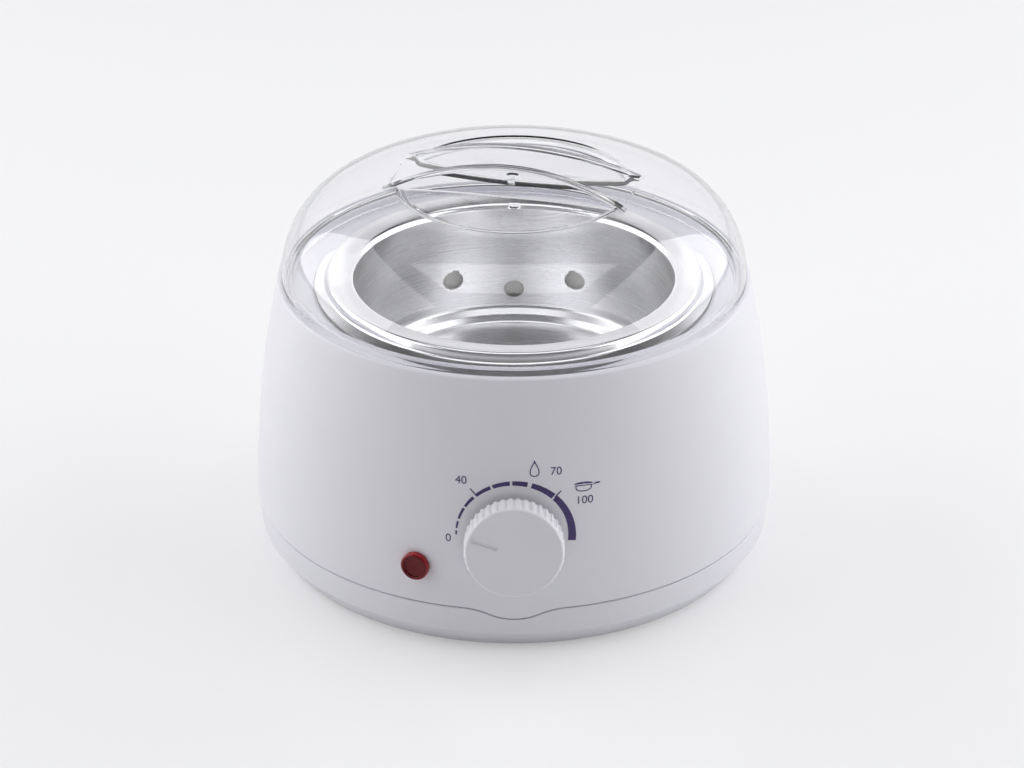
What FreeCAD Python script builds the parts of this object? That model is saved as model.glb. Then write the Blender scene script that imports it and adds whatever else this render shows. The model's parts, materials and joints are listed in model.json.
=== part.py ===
import FreeCAD, Part
import math
import os

from FreeCAD import Placement, Rotation, Vector

# A round free-standing wax heater. Millimetres, +Z up, the front towards -Y.
# The origin is on the table under the body's centre.

# Body: one long arc from the seam to the rim, and a base below the seam
SEAM_Z = 17.4
SEAM_R = 86.9
WAIST_R = 84.35
RIM_Z = 94.5
RIM_R = 77.7
WALL = 2.5
RIM_FILLET = 1.1
RIM_INNER_R = 74.9
LEDGE_Z = 91.5
LEDGE_BOTTOM_Z = 88.0
OPENING_R = 62.0
REBATE_R = 66.2
REBATE_Z = 89.9
SEAM_GAP = 0.4
DIP_HALF_WIDTH = 16.0
DIP_DEPTH = 3.6
BAND_R = 86.0
BAND_Z = 8.0
BASE_R = 80.8
BASE_Z = 1.1
LIP_R = 84.0
LIP_WALL = 1.8
LIP_TOP_Z = 20.4
LIP_ROOT_Z = 11.5
LIP_BITE = 0.4
TRIM = 1.0

# Base screws and feet
BOSS_COUNT = 4
BOSS_START_DEG = 45.0
BOSS_RING_R = 76.0
BOSS_R = 4.0
BOSS_BOTTOM_Z = 20.5
BOSS_TOP_Z = 46.0
BOSS_PILOT_Z = 40.0
BOSS_SCREW_Z = 34.0
WEB_WIDTH = 2.0
WEB_BOTTOM_Z = 24.5
WEB_END_R = 84.6
SCREW_R = 1.45
PILOT_R = 1.5
CLEAR_R = 1.8
POST_R = 4.8
COUNTERBORE_R = 3.8
COUNTERBORE_TOP_Z = 9.0
HEAD_R = 3.2
HEAD_HEIGHT = 2.4
CROSS_SLOT = (2.0, 0.4)
FOOT_RING_R = 66.0
FOOT_R = 8.0
FOOT_RECESS = 0.8
FOOT_STEM_R = 2.5
FOOT_BARB_R = 3.4
FOOT_EDGE = 0.6
FOOT_CLEAR = 0.15
FOOT_BARB = 2.0
FEET = {"right": (1, 0), "back": (0, 1), "left": (-1, 0), "front": (0, -1)}
VENT_SIDE_ROWS = 3
VENT_PITCH = 8.0
VENT_LENGTH = 30.0
VENT_WIDTH = 2.4

# Well: spun sheet, and the stack that hangs under it on one stud
SHEET = 1.0
WELL_FLOOR_Z = 53.0
WELL_PATH = ((65.6, 91.6), (62.3, 92.4), (61.4, 95.3), (52.6, 94.35), (51.0, 57.5), (48.2, 55.4),
             (46.6, WELL_FLOOR_Z), (0, WELL_FLOOR_Z))
WELL_BENDS = (0.8, 1.1, 2.2, 2.0, 1.2, 1.5)
PEEP_HOLES = ((-21.0, 69.5), (0.0, 64.5), (21.0, 69.5))
PEEP_R = 3.5
GASKET_WALL = (62.4, 65.6)
GASKET_TOP_Z = 90.6
SLEEVE_WALL = (54.2, 60.9)
SHIELD_WALL = (61.2, 61.8)
SHIELD_SHEET = 0.6
DISC_R = 43.0
DISC_THICK = 4.0
RING_R = 30.0
RING_TUBE_R = 3.2
RING_SINK = 0.8
RING_CLEAR = 0.05
RING_GAP_DEG = 60.0
RING_BEND = 7.0
RING_LEG_END_Z = 18.0
CLAMP_THICK = 1.2
CLAMP_WIDTH = 14.0
CLAMP_REACH = 36.0
CLAMP_SHORT_REACH = 23.0
STUD_R = 2.5
STUD_FLANGE_R = 6.0
STUD_FLANGE = 1.5
STUD_END_Z = 25.5
STUD_CLEAR = 0.2
THREAD_CLEAR = 0.02
NUT_HEIGHT = 4.0
NUT_R = 4.6
SPACER_R = 4.5
SPACER_LENGTH = 4.0
BRIDGE_THICK = 1.5
BRIDGE_WIDTH = 12.0
PILLAR_X = 72.0
PILLAR_R = 4.5
PILLAR_PILOT = 16.0
PILLAR_SCREW = 14.0
PROBE_R = 2.75
PROBE_Y = 18.0
FUSE_HALF = 8.0
BULB_HALF = 15.0
CAPILLARY_R = 0.7
CAPILLARY_X = 18.0
CAPILLARY_BEND = 2.0
CAPILLARY_DROP = 8.0
FEED_CLEAR = 1.0
LEAD_RISER_X = 14.0

# Dial, on an axis that leans up a little, with the thermostat behind the wall
DIAL_Z = 42.0
DIAL_TILT_DEG = 3.5
KNOB_R = 15.75
KNOB_FACE_R = 15.05
KNOB_BACK = 2.0
KNOB_FRONT = 9.0
KNOB_SHOULDER = 1.4
KNOB_SKIN = 1.9
KNOB_FILLET = 0.6
FLUTE_COUNT = 40
FLUTE_R = 0.9
FLUTE_RING_R = 16.15
POINTER_DEG = 166.0
POINTER_SPAN = (6.0, 14.2)
POINTER_WIDTH = 1.2
POINTER_DEPTH = 0.3
HUB_R = 5.2
CLIP_WALL = 0.7
CLIP_SPAN = (3.0, 5.5)
SHAFT_R = 3.0
SHAFT_SPAN = (-18.0, 6.9)
SHAFT_FLAT = 2.0
SHAFT_FLAT_START = 1.5
SHAFT_CLEAR = 0.3
D_CLEAR = 0.05
SHAFT_HOLE_R = 4.6
BRACKET_W = -8.0
BRACKET_THICK = 1.0
BRACKET_HALF = (20.4, 9.0)
BRACKET_SCREW_U = 17.0
BRACKET_POST_R = 3.2
BRACKET_POST_END_W = -2.6
BRACKET_SCREW_R = 1.25
BRACKET_PILOT_R = 1.3
BRACKET_PILOT_END_W = -3.6
BRACKET_CORNER = 2.5
BRACKET_HEAD = (2.5, 1.8)
BODY_HALF = (14.0, 13.0)
BODY_DEPTH = 12.0
BODY_CHAMFER = 1.5
BUSH_R = 4.0
BUSH_END_W = -3.4
BUSH_NUT_R = 6.9
BUSH_NUT_HEIGHT = 2.6
TAB_U = (-9.0, 0.0)
TAB_WIDTH = 6.3
TAB_THICK = 0.8
TAB_LENGTH = 8.0
CAPILLARY_U = 9.0
END_GAP = 0.08

# Lamp
LAMP_ANGLE_DEG = -20.9
LAMP_Z = 30.5
LENS_R = 4.6
LENS_HEIGHT = 2.3
LENS_SHOULDER = 1.7
LENS_RIM = (3.3, 4.1)
LENS_FACE = 1.8
LENS_SEAT = 0.05
LENS_BODY_R = 3.8
LENS_LENGTH = 6.0
LENS_BORE_R = 2.7
LENS_BORE_TOP = 1.0
LAMP_HOLE_R = 4.0
BULB_R = 2.3
BULB_SPAN = (-10.0, 0.4)
PINCH_R = 1.8
PINCH_END = -14.0
PIN_U = 1.2
CLIP_RING = (3.9, 5.8)
CLIP_RING_W = (-3.9, -2.75)

# Mains: gland in the rear wall, terminal block on the base, and inner wires
GLAND_Z = 33.0
GLAND_PAD_R = 11.0
GLAND_PAD_Y = (80.5, 84.5)
GLAND_FACE_Y = 84.9
GLAND_COLLAR_R = 9.2
COLLAR_CLEAR = 0.4
GLAND_COLLAR_END_Y = 90.5
GLAND_NOSE_R = 6.0
GLAND_END_Y = 96.0
GLAND_THREAD_R = 6.3
GLAND_START_Y = 72.0
GLAND_BORE_R = 3.3
GLAND_BORE_START_Y = 87.5
GLAND_CAVITY_R = 4.4
GLAND_HOLE_R = 6.5
GLAND_NUT_R = 10.4
GLAND_NUT_HEIGHT = 4.0
BLOCK_PINS_X = (-28.0, -20.0, -12.0, -4.0, 4.0, 12.0)
BLOCK_MARGIN = 4.8
BLOCK_Y = (46.0, 60.0)
BLOCK_HEIGHT = 11.4
BLOCK_SCREW_Y = 52.0
BLOCK_SCREW_R = 1.8
BLOCK_SCREW_SPAN_Z = (10.6, 14.4)
BLOCK_HOLE_R = 2.0
ENTRY_R = 1.3
ENTRY_DEPTH = 4.0
WIRE_R = 1.0
WIRE_BEND = 3.0
WIRE_Z = 8.0
LAMP_WIRE_R = 0.7
JOG = 9.0
RESISTOR_R = 1.8
RESISTOR_SPAN_Y = (-31.0, -21.0)

# Lid: three tangent arcs up to a crisp circle, a shallow dish inside it and a grip bar across the dish
LID_R = 76.5
LID_WALL = 2.2
LID_RADII = (33.3, 26.7, 58.4)
LID_SWEEPS_DEG = (23.8, 42.1, 22.4)
SKIRT_R = 74.6
SKIRT_WALL = 2.0
SKIRT_BOTTOM_Z = 91.8
DISH_EDGE_R = 36.2
DISH_EDGE_Z = 124.9
DISH_CENTRE_Z = 124.0
GRIP_TURN_DEG = -13.25
GRIP_CREST_Z = 135.4
GRIP_ARCH_R = 91.0
GRIP_HALF_LENGTH = 46.0
GRIP_HALF_WIDTH = 6.6
GRIP_END_HALF_WIDTH = 12.8
GRIP_WALL = 2.0
GRIP_FOOT_Z = 118.0
GRIP_RISE = 20.0
GRIP_FILLET = 1.9
VENT_Y = 14.5
VENT_R = 2.0

UP = Vector(0, 0, 1)
BASE_FLOOR_Z = BASE_Z + WALL
DISC_BOTTOM_Z = WELL_FLOOR_Z - SHEET - DISC_THICK
RING_Z = DISC_BOTTOM_Z + RING_SINK - RING_TUBE_R
CLAMP_TOP_Z = RING_Z - RING_TUBE_R
UPPER_NUT_Z = CLAMP_TOP_Z - CLAMP_THICK - NUT_HEIGHT
SHIELD_FLOOR_Z = UPPER_NUT_Z - SPACER_LENGTH
BRIDGE_TOP_Z = SHIELD_FLOOR_Z - SHIELD_SHEET
LOWER_NUT_Z = BRIDGE_TOP_Z - BRIDGE_THICK - NUT_HEIGHT
PROBE_Z = (CLAMP_TOP_Z + DISC_BOTTOM_Z) / 2


def circle_through(a, b, c):
    """Centre and radius of the circle through three (r, z) points."""
    circle = Part.Circle(Vector(a[0], 0, a[1]), Vector(b[0], 0, b[1]), Vector(c[0], 0, c[1]))
    return circle.Center, circle.Radius


WALL_CENTRE, WALL_ARC_R = circle_through((SEAM_R, SEAM_Z), (WAIST_R, (SEAM_Z + RIM_Z) / 2), (RIM_R, RIM_Z))


def wall_radius(z, depth=0.0):
    """Radius of the body's wall at height z, measured depth inside its outer face."""
    return WALL_CENTRE.x + math.sqrt((WALL_ARC_R - depth) ** 2 - (z - WALL_CENTRE.z) ** 2)


def section_line(a, b):
    return Part.LineSegment(Vector(a[0], 0, a[1]), Vector(b[0], 0, b[1])).toShape()


def section_arc(a, b, c):
    return Part.Arc(Vector(a[0], 0, a[1]), Vector(b[0], 0, b[1]), Vector(c[0], 0, c[1])).toShape()


def wall_edge(low, high, depth=0.0):
    """Arc of the body's wall between two heights, as an edge of an (r, z) section."""
    return section_arc(*[(wall_radius(z, depth), z) for z in (low, (low + high) / 2, high)])


def spun(section):
    """Solid turned about Z from a face, a wire or a list of (r, z) corners."""
    if isinstance(section, (list, tuple)):
        corners = [Vector(r, 0, z) for r, z in section]
        section = Part.makePolygon(corners + corners[:1])
    if section.ShapeType == "Wire":
        section = Part.Face(section)
    solid = section.revolve(Vector(), UP, 360)
    if solid.Volume < 0:
        solid.reverse()
    return solid


def washer(inner, outer, low, high):
    return spun([(inner, low), (outer, low), (outer, high), (inner, high)])


def rod(x, y, low, high, radius):
    """Upright round bar."""
    return Part.makeCylinder(radius, high - low, Vector(x, y, low))


def hexagon(across_corners_r, low, high):
    """Upright hexagonal bar about Z."""
    corners = [Rotation(UP, 60 * k).multVec(Vector(across_corners_r, 0, low)) for k in range(7)]
    return Part.Face(Part.makePolygon(corners)).extrude(UP * (high - low))


def slab(x, y, z):
    """Box from its (low, high) spans."""
    return Part.makeBox(x[1] - x[0], y[1] - y[0], z[1] - z[0], Vector(x[0], y[0], z[0]))


def rounded_path(points, bends):
    """Wire of straight runs joined by tangent arcs, one bend radius for each inner point."""
    edges = []
    start = points[0]
    for before, corner, after, bend in zip(points, points[1:], points[2:], bends):
        ahead = (corner - before).normalize()
        onward = (after - corner).normalize()
        half_turn = ahead.getAngle(onward) / 2
        reach = bend * math.tan(half_turn)
        sag = bend * (1 / math.cos(half_turn) - 1)
        arc_start = corner - ahead * reach
        arc_end = corner + onward * reach
        edges.append(Part.LineSegment(start, arc_start).toShape())
        edges.append(Part.Arc(arc_start, corner + (onward - ahead).normalize() * sag, arc_end).toShape())
        start = arc_end
    edges.append(Part.LineSegment(start, points[-1]).toShape())
    return Part.Wire(edges)


def swept(path, radius, start, direction):
    """Round bar along a wire."""
    section = Part.Wire(Part.makeCircle(radius, start, direction))
    return path.makePipeShell([section], True, False)


def wire_along(points, radius=WIRE_R, bend=WIRE_BEND):
    """Round wire through points, with equal bends."""
    points = [Vector(*p) for p in points]
    return swept(rounded_path(points, [bend] * (len(points) - 2)), radius, points[0], points[1] - points[0])


def frame_on_wall(angle_deg, z, lift_deg):
    """Local frame on the outer wall: X to the right, Y up the wall, Z outwards."""
    angle = math.radians(angle_deg)
    lift = math.radians(lift_deg)
    level = Vector(math.sin(angle), -math.cos(angle), 0)
    outward = level * math.cos(lift) + UP * math.sin(lift)
    right = UP.cross(outward).normalize()
    return Placement(level * wall_radius(z) + UP * z, Rotation(right, outward.cross(right), outward, "ZXY"))


def wall_lift_deg(z):
    """How far the wall's outward normal points up at height z."""
    return math.degrees(math.asin((z - WALL_CENTRE.z) / WALL_ARC_R))


def placed(shape, frame):
    moved = shape.copy()
    moved.Placement = frame.multiply(moved.Placement)
    return moved


def around(shape, count, start_deg=0.0):
    """Copies of a shape spread evenly about Z."""
    step = 360 / count
    return [placed(shape, Placement(Vector(), Rotation(UP, start_deg + step * k))) for k in range(count)]


def ring_point(angle_deg, z, back=0.0):
    """Point on the heating ring's circle, or back from it along the tangent."""
    angle = math.radians(angle_deg)
    tangent = Vector(-math.sin(angle), math.cos(angle), 0)
    return Vector(RING_R * math.cos(angle), RING_R * math.sin(angle), z) - tangent * back


DIAL = frame_on_wall(0, DIAL_Z, DIAL_TILT_DEG)
LAMP = frame_on_wall(LAMP_ANGLE_DEG, LAMP_Z, wall_lift_deg(LAMP_Z))
RING_START_DEG = 90 + RING_GAP_DEG / 2
RING_END_DEG = 90 - RING_GAP_DEG / 2
LEG_RIGHT = ring_point(RING_END_DEG, RING_LEG_END_Z, -RING_BEND)
LEG_LEFT = ring_point(RING_START_DEG, RING_LEG_END_Z, RING_BEND)
FEED_HOLES = ((LEG_LEFT.x, LEG_LEFT.y, RING_TUBE_R), (LEG_RIGHT.x, LEG_RIGHT.y, RING_TUBE_R),
              (-LEAD_RISER_X, PROBE_Y, WIRE_R), (LEAD_RISER_X, PROBE_Y, WIRE_R),
              (CAPILLARY_X, -PROBE_Y, CAPILLARY_R))


def seam_cutters(drop, far_z):
    """Prisms between far_z and the seam, lowered by drop: dipped at the front, level at the back."""
    arc_r = (DIP_HALF_WIDTH ** 2 + DIP_DEPTH ** 2) / (4 * DIP_DEPTH)
    half_angle = math.asin(DIP_HALF_WIDTH / 2 / arc_r) / 2
    across = arc_r * math.sin(half_angle)
    fall = arc_r * (1 - math.cos(half_angle))
    reach = SEAM_R + WALL
    top = SEAM_Z - drop
    low = top - DIP_DEPTH
    edges = []
    for side in (1, -1):
        shoulder = (side * DIP_HALF_WIDTH, top)
        middle = (side * DIP_HALF_WIDTH / 2, top - DIP_DEPTH / 2)
        edges.append(section_line((side * reach, top), shoulder))
        edges.append(section_arc(shoulder, (side * (DIP_HALF_WIDTH - across), top - fall), middle))
        edges.append(section_arc(middle, (side * across, low + fall), (0, low)))
        edges.append(section_line((side * reach, top), (side * reach, far_z)))
    edges.append(section_line((reach, far_z), (-reach, far_z)))
    front = Part.Face(Part.Wire(Part.__sortEdges__(edges))).extrude(Vector(0, -reach, 0))
    back = slab((-reach, reach), (0, reach), sorted((top, far_z)))
    return [front, back]


def band_radius(z):
    """Radius of the base's outer band at height z."""
    return BAND_R + (SEAM_R - BAND_R) * (z - BAND_Z) / (SEAM_Z - BAND_Z)


def upper_housing():
    rim_corners = [(RIM_R, RIM_Z), (RIM_INNER_R, RIM_Z), (RIM_INNER_R, LEDGE_Z), (REBATE_R, LEDGE_Z),
                   (REBATE_R, REBATE_Z), (OPENING_R, REBATE_Z), (OPENING_R, LEDGE_BOTTOM_Z),
                   (wall_radius(LEDGE_BOTTOM_Z, WALL), LEDGE_BOTTOM_Z)]
    edges = [wall_edge(SEAM_Z, RIM_Z)]
    edges += [section_line(a, b) for a, b in zip(rim_corners, rim_corners[1:])]
    edges.append(wall_edge(SEAM_Z, LEDGE_BOTTOM_Z, WALL))
    low = SEAM_Z - DIP_DEPTH - TRIM
    skirt_corners = [(wall_radius(SEAM_Z, WALL), SEAM_Z), (band_radius(low) - WALL, low),
                     (band_radius(low), low), (SEAM_R, SEAM_Z)]
    edges += [section_line(a, b) for a, b in zip(skirt_corners, skirt_corners[1:])]
    shell = spun(Part.Wire(Part.__sortEdges__(edges))).cut(seam_cutters(0, 0))
    rim = [e for e in shell.Edges if abs(e.BoundBox.ZMin - RIM_Z) < 1e-3 and e.BoundBox.XMax > RIM_R - 0.1]
    shell = shell.makeFillet(RIM_FILLET, rim)

    boss = rod(BOSS_RING_R, 0, BOSS_BOTTOM_Z, BOSS_TOP_Z, BOSS_R)
    web = slab((BOSS_RING_R, WEB_END_R), (-WEB_WIDTH / 2, WEB_WIDTH / 2), (WEB_BOTTOM_Z, BOSS_TOP_Z))
    added = around(boss.fuse(web), BOSS_COUNT, BOSS_START_DEG)
    added += [rod(x, 0, BRIDGE_TOP_Z, LEDGE_BOTTOM_Z + TRIM, PILLAR_R) for x in (-PILLAR_X, PILLAR_X)]
    for u in (-BRACKET_SCREW_U, BRACKET_SCREW_U):
        added.append(placed(rod(u, 0, BRACKET_W, BRACKET_POST_END_W, BRACKET_POST_R), DIAL))
    added.append(along_y(GLAND_PAD_R, GLAND_PAD_Y))
    shell = shell.fuse(added)

    cuts = around(rod(BOSS_RING_R, 0, BOSS_BOTTOM_Z, BOSS_PILOT_Z, PILOT_R), BOSS_COUNT, BOSS_START_DEG)
    cuts += [rod(x, 0, BRIDGE_TOP_Z, BRIDGE_TOP_Z + PILLAR_PILOT, PILOT_R) for x in (-PILLAR_X, PILLAR_X)]
    for u in (-BRACKET_SCREW_U, BRACKET_SCREW_U):
        cuts.append(placed(rod(u, 0, BRACKET_W, BRACKET_PILOT_END_W, BRACKET_PILOT_R), DIAL))
    through = (-2 * WALL, 2 * WALL)
    cuts.append(placed(rod(0, 0, *through, SHAFT_HOLE_R), DIAL))
    cuts.append(placed(rod(0, 0, *through, LAMP_HOLE_R), LAMP))
    cuts.append(along_y(GLAND_HOLE_R, (GLAND_START_Y, GLAND_END_Y)))
    cuts.append(along_y(GLAND_COLLAR_R + COLLAR_CLEAR, (GLAND_FACE_Y, GLAND_END_Y)))
    return shell.cut(cuts).removeSplitter()


def along_y(radius, span):
    """Round bar along +Y at the gland's height."""
    return Part.makeCylinder(radius, span[1] - span[0], Vector(0, span[0], GLAND_Z), Vector(0, 1, 0))


def base_pan():
    slope = (BAND_R - BASE_R) / (BAND_Z - BASE_Z)
    inner_bevel_r = BASE_R - WALL * (math.sqrt(1 + slope ** 2) - slope)
    outline = [(SEAM_R, SEAM_Z), (BAND_R, BAND_Z), (BASE_R, BASE_Z), (0, BASE_Z), (0, BASE_FLOOR_Z),
               (inner_bevel_r, BASE_FLOOR_Z), (BAND_R - WALL, BAND_Z + WALL / 2), (SEAM_R - WALL, SEAM_Z)]
    pan = spun(outline).cut(seam_cutters(SEAM_GAP, RIM_Z))
    lip = spun([(LIP_R, LIP_TOP_Z), (LIP_R - LIP_WALL, LIP_TOP_Z), (LIP_R - LIP_WALL, LIP_ROOT_Z + LIP_WALL),
                (BAND_R - WALL - LIP_BITE, LIP_ROOT_Z), (BAND_R - WALL + LIP_BITE, LIP_ROOT_Z),
                (LIP_R, SEAM_Z - DIP_DEPTH - TRIM)])
    posts = around(rod(BOSS_RING_R, 0, BASE_Z + WALL / 4, BOSS_BOTTOM_Z, POST_R), BOSS_COUNT, BOSS_START_DEG)
    pan = pan.fuse([lip] + posts)

    counterbore = rod(BOSS_RING_R, 0, 0, COUNTERBORE_TOP_Z, COUNTERBORE_R)
    bore = rod(BOSS_RING_R, 0, 0, BOSS_BOTTOM_Z, CLEAR_R).fuse(counterbore)
    cuts = around(bore, BOSS_COUNT, BOSS_START_DEG)
    recess = rod(FOOT_RING_R, 0, 0, BASE_Z + FOOT_RECESS, FOOT_R + FOOT_CLEAR)
    cuts += around(recess.fuse(rod(FOOT_RING_R, 0, 0, BASE_FLOOR_Z, FOOT_STEM_R + FOOT_CLEAR)), len(FEET))
    for row in range(-VENT_SIDE_ROWS, VENT_SIDE_ROWS + 1):
        slot = slab((-VENT_WIDTH / 2, VENT_WIDTH / 2), (-VENT_LENGTH / 2, VENT_LENGTH / 2), (0, BASE_FLOOR_Z))
        cuts.append(placed(slot, Placement(Vector(row * VENT_PITCH, 0, 0), Rotation())))
    return pan.cut(cuts).removeSplitter()


def base_screw():
    head = rod(BOSS_RING_R, 0, COUNTERBORE_TOP_Z - HEAD_HEIGHT, COUNTERBORE_TOP_Z, HEAD_R)
    shank = rod(BOSS_RING_R, 0, COUNTERBORE_TOP_Z, BOSS_SCREW_Z, SCREW_R)
    bottom = COUNTERBORE_TOP_Z - HEAD_HEIGHT
    long, short = CROSS_SLOT
    slots = []
    for a, b in ((long, short), (short, long)):
        slots.append(slab((BOSS_RING_R - a, BOSS_RING_R + a), (-b, b), (bottom, bottom + HEAD_HEIGHT / 2)))
    return head.fuse(shank).cut(slots)


def foot():
    """Rubber foot with a plug that snaps through the base."""
    seat_z = BASE_Z + FOOT_RECESS
    tip_z = BASE_FLOOR_Z + FOOT_BARB
    return spun([(0, 0), (FOOT_R - FOOT_EDGE, 0), (FOOT_R, FOOT_EDGE), (FOOT_R, seat_z),
                 (FOOT_STEM_R, seat_z), (FOOT_STEM_R, BASE_FLOOR_Z), (FOOT_BARB_R, BASE_FLOOR_Z),
                 (FOOT_STEM_R, tip_z), (0, tip_z)])


def heating_well():
    path = rounded_path([Vector(r, 0, z) for r, z in WELL_PATH], WELL_BENDS)
    section = path.makeOffset2D(SHEET, 0, True, True)
    well = spun(section)
    back = Vector(0, 1, 0)
    holes = [Part.makeCylinder(PEEP_R, SLEEVE_WALL[0], Vector(x, 0, z), back) for x, z in PEEP_HOLES]
    return well.cut(holes)


def heat_shield():
    inner, outer = SHIELD_WALL
    hole = STUD_R + STUD_CLEAR
    cup = spun([(hole, BRIDGE_TOP_Z), (outer, BRIDGE_TOP_Z), (outer, LEDGE_BOTTOM_Z), (inner, LEDGE_BOTTOM_Z),
                (inner, SHIELD_FLOOR_Z), (hole, SHIELD_FLOOR_Z)])
    return cup.cut([rod(x, y, BRIDGE_TOP_Z, SHIELD_FLOOR_Z, r + FEED_CLEAR) for x, y, r in FEED_HOLES])


def heater_disc():
    disc = washer(STUD_FLANGE_R + STUD_CLEAR, DISC_R, DISC_BOTTOM_Z, DISC_BOTTOM_Z + DISC_THICK)
    return disc.cut(Part.makeTorus(RING_R, RING_TUBE_R + RING_CLEAR, Vector(0, 0, RING_Z)))


def heating_ring():
    knee_z = RING_Z - RING_BEND
    edges = []
    for leg, angle in ((LEG_LEFT, RING_START_DEG), (LEG_RIGHT, RING_END_DEG)):
        knee = Vector(leg.x, leg.y, knee_z)
        start = ring_point(angle, RING_Z)
        centre = Vector(start.x, start.y, knee_z)
        middle = centre + ((knee - centre) + UP * RING_BEND).normalize() * RING_BEND
        edges.append(Part.LineSegment(leg, knee).toShape())
        edges.append(Part.Arc(knee, middle, start).toShape())
    turn = [ring_point(angle, RING_Z) for angle in (RING_START_DEG, 270, RING_END_DEG)]
    edges.append(Part.Arc(*turn).toShape())
    return swept(Part.Wire(Part.__sortEdges__(edges)), RING_TUBE_R, LEG_LEFT, UP)


def clamp_bridge():
    half = CLAMP_WIDTH / 2
    span_z = (CLAMP_TOP_Z - CLAMP_THICK, CLAMP_TOP_Z)
    cross = slab((-CLAMP_REACH, CLAMP_REACH), (-half, half), span_z)
    cross = cross.fuse(slab((-half, half), (-CLAMP_REACH, CLAMP_SHORT_REACH), span_z)).removeSplitter()
    return cross.cut(rod(0, 0, *span_z, STUD_R + STUD_CLEAR))


def centre_stud():
    top = WELL_FLOOR_Z - SHEET
    flange = rod(0, 0, top - STUD_FLANGE, top, STUD_FLANGE_R)
    return flange.fuse(rod(0, 0, STUD_END_Z, top - STUD_FLANGE, STUD_R)).removeSplitter()


def stud_nut(low):
    return hexagon(NUT_R, low, low + NUT_HEIGHT).cut(rod(0, 0, low, low + NUT_HEIGHT, STUD_R + THREAD_CLEAR))


def support_bridge():
    span_z = (BRIDGE_TOP_Z - BRIDGE_THICK, BRIDGE_TOP_Z)
    strap = slab((-PILLAR_X, PILLAR_X), (-BRIDGE_WIDTH / 2, BRIDGE_WIDTH / 2), span_z)
    ends = [rod(x, 0, *span_z, BRIDGE_WIDTH / 2) for x in (-PILLAR_X, PILLAR_X)]
    holes = [rod(x, 0, *span_z, CLEAR_R) for x in (-PILLAR_X, PILLAR_X)]
    return strap.fuse(ends).removeSplitter().cut(holes + [rod(0, 0, *span_z, STUD_R + STUD_CLEAR)])


def bridge_screw(x):
    under = BRIDGE_TOP_Z - BRIDGE_THICK
    shank = rod(x, 0, under, BRIDGE_TOP_Z + PILLAR_SCREW, SCREW_R)
    return rod(x, 0, under - HEAD_HEIGHT, under, HEAD_R).fuse(shank)


def probe(y, half_length):
    """Round capsule body clamped between the cross and the disc."""
    return Part.makeCylinder(PROBE_R, 2 * half_length, Vector(-half_length, y, PROBE_Z), Vector(1, 0, 0))


def dial_knob():
    cup_r = KNOB_R - KNOB_SKIN
    cup_top = KNOB_FRONT - KNOB_SKIN
    shoulder = KNOB_FRONT - KNOB_SHOULDER
    knob = spun([(0, KNOB_BACK), (KNOB_R, KNOB_BACK), (KNOB_R, shoulder), (KNOB_FACE_R, KNOB_FRONT),
                 (0, KNOB_FRONT)])
    face_edge = [e for e in knob.Edges if abs(e.BoundBox.ZMin - KNOB_FRONT) < 1e-3 and e.Closed]
    knob = knob.makeFillet(KNOB_FILLET, face_edge)
    flute = rod(FLUTE_RING_R, 0, KNOB_BACK, KNOB_FRONT, FLUTE_R)
    hollow = washer(HUB_R, cup_r, KNOB_BACK, cup_top)
    d_bore = rod(0, 0, KNOB_BACK, cup_top, SHAFT_R + D_CLEAR)
    d_bore = d_bore.cut(slab((-HUB_R, HUB_R), (SHAFT_FLAT + D_CLEAR, HUB_R), (KNOB_BACK, cup_top)))
    half = POINTER_WIDTH / 2
    pointer = slab(POINTER_SPAN, (-half, half), (KNOB_FRONT - POINTER_DEPTH, KNOB_FRONT))
    pointer = placed(pointer, Placement(Vector(), Rotation(UP, POINTER_DEG)))
    return placed(knob.cut(around(flute, FLUTE_COUNT) + [hollow, d_bore, pointer]), DIAL)


def knob_clip():
    inner = HUB_R + D_CLEAR
    split = slab((0, 2 * HUB_R), (-CLIP_WALL, CLIP_WALL), CLIP_SPAN)
    return placed(washer(inner, inner + CLIP_WALL, *CLIP_SPAN).cut(split), DIAL)


def thermostat_shaft():
    shaft = rod(0, 0, *SHAFT_SPAN, SHAFT_R)
    flat = slab((-SHAFT_R, SHAFT_R), (SHAFT_FLAT, SHAFT_R), (SHAFT_FLAT_START, SHAFT_SPAN[1]))
    return placed(shaft.cut(flat), DIAL)


def thermostat_body():
    back = BRACKET_W - BRACKET_THICK - BODY_DEPTH
    front = BRACKET_W - BRACKET_THICK
    block = slab((-BODY_HALF[0], BODY_HALF[0]), (-BODY_HALF[1], BODY_HALF[1]), (back, front))
    upright = [e for e in block.Edges if e.BoundBox.ZLength > BODY_DEPTH / 2]
    block = block.makeChamfer(BODY_CHAMFER, upright)
    bush = rod(0, 0, front, BUSH_END_W, BUSH_R)
    bore = rod(0, 0, SHAFT_SPAN[0] - SHAFT_CLEAR, BUSH_END_W, SHAFT_R + SHAFT_CLEAR)
    return placed(block.fuse(bush).cut(bore), DIAL)


def thermostat_bracket():
    span_w = (BRACKET_W - BRACKET_THICK, BRACKET_W)
    plate = slab((-BRACKET_HALF[0], BRACKET_HALF[0]), (-BRACKET_HALF[1], BRACKET_HALF[1]), span_w)
    upright = [e for e in plate.Edges if abs(e.BoundBox.ZLength - BRACKET_THICK) < 0.01]
    plate = plate.makeFillet(BRACKET_CORNER, upright)
    screws_u = (-BRACKET_SCREW_U, BRACKET_SCREW_U)
    holes = [rod(u, 0, *span_w, BRACKET_SCREW_R + STUD_CLEAR) for u in screws_u]
    return placed(plate.cut(holes + [rod(0, 0, *span_w, BUSH_R + STUD_CLEAR)]), DIAL)


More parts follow.
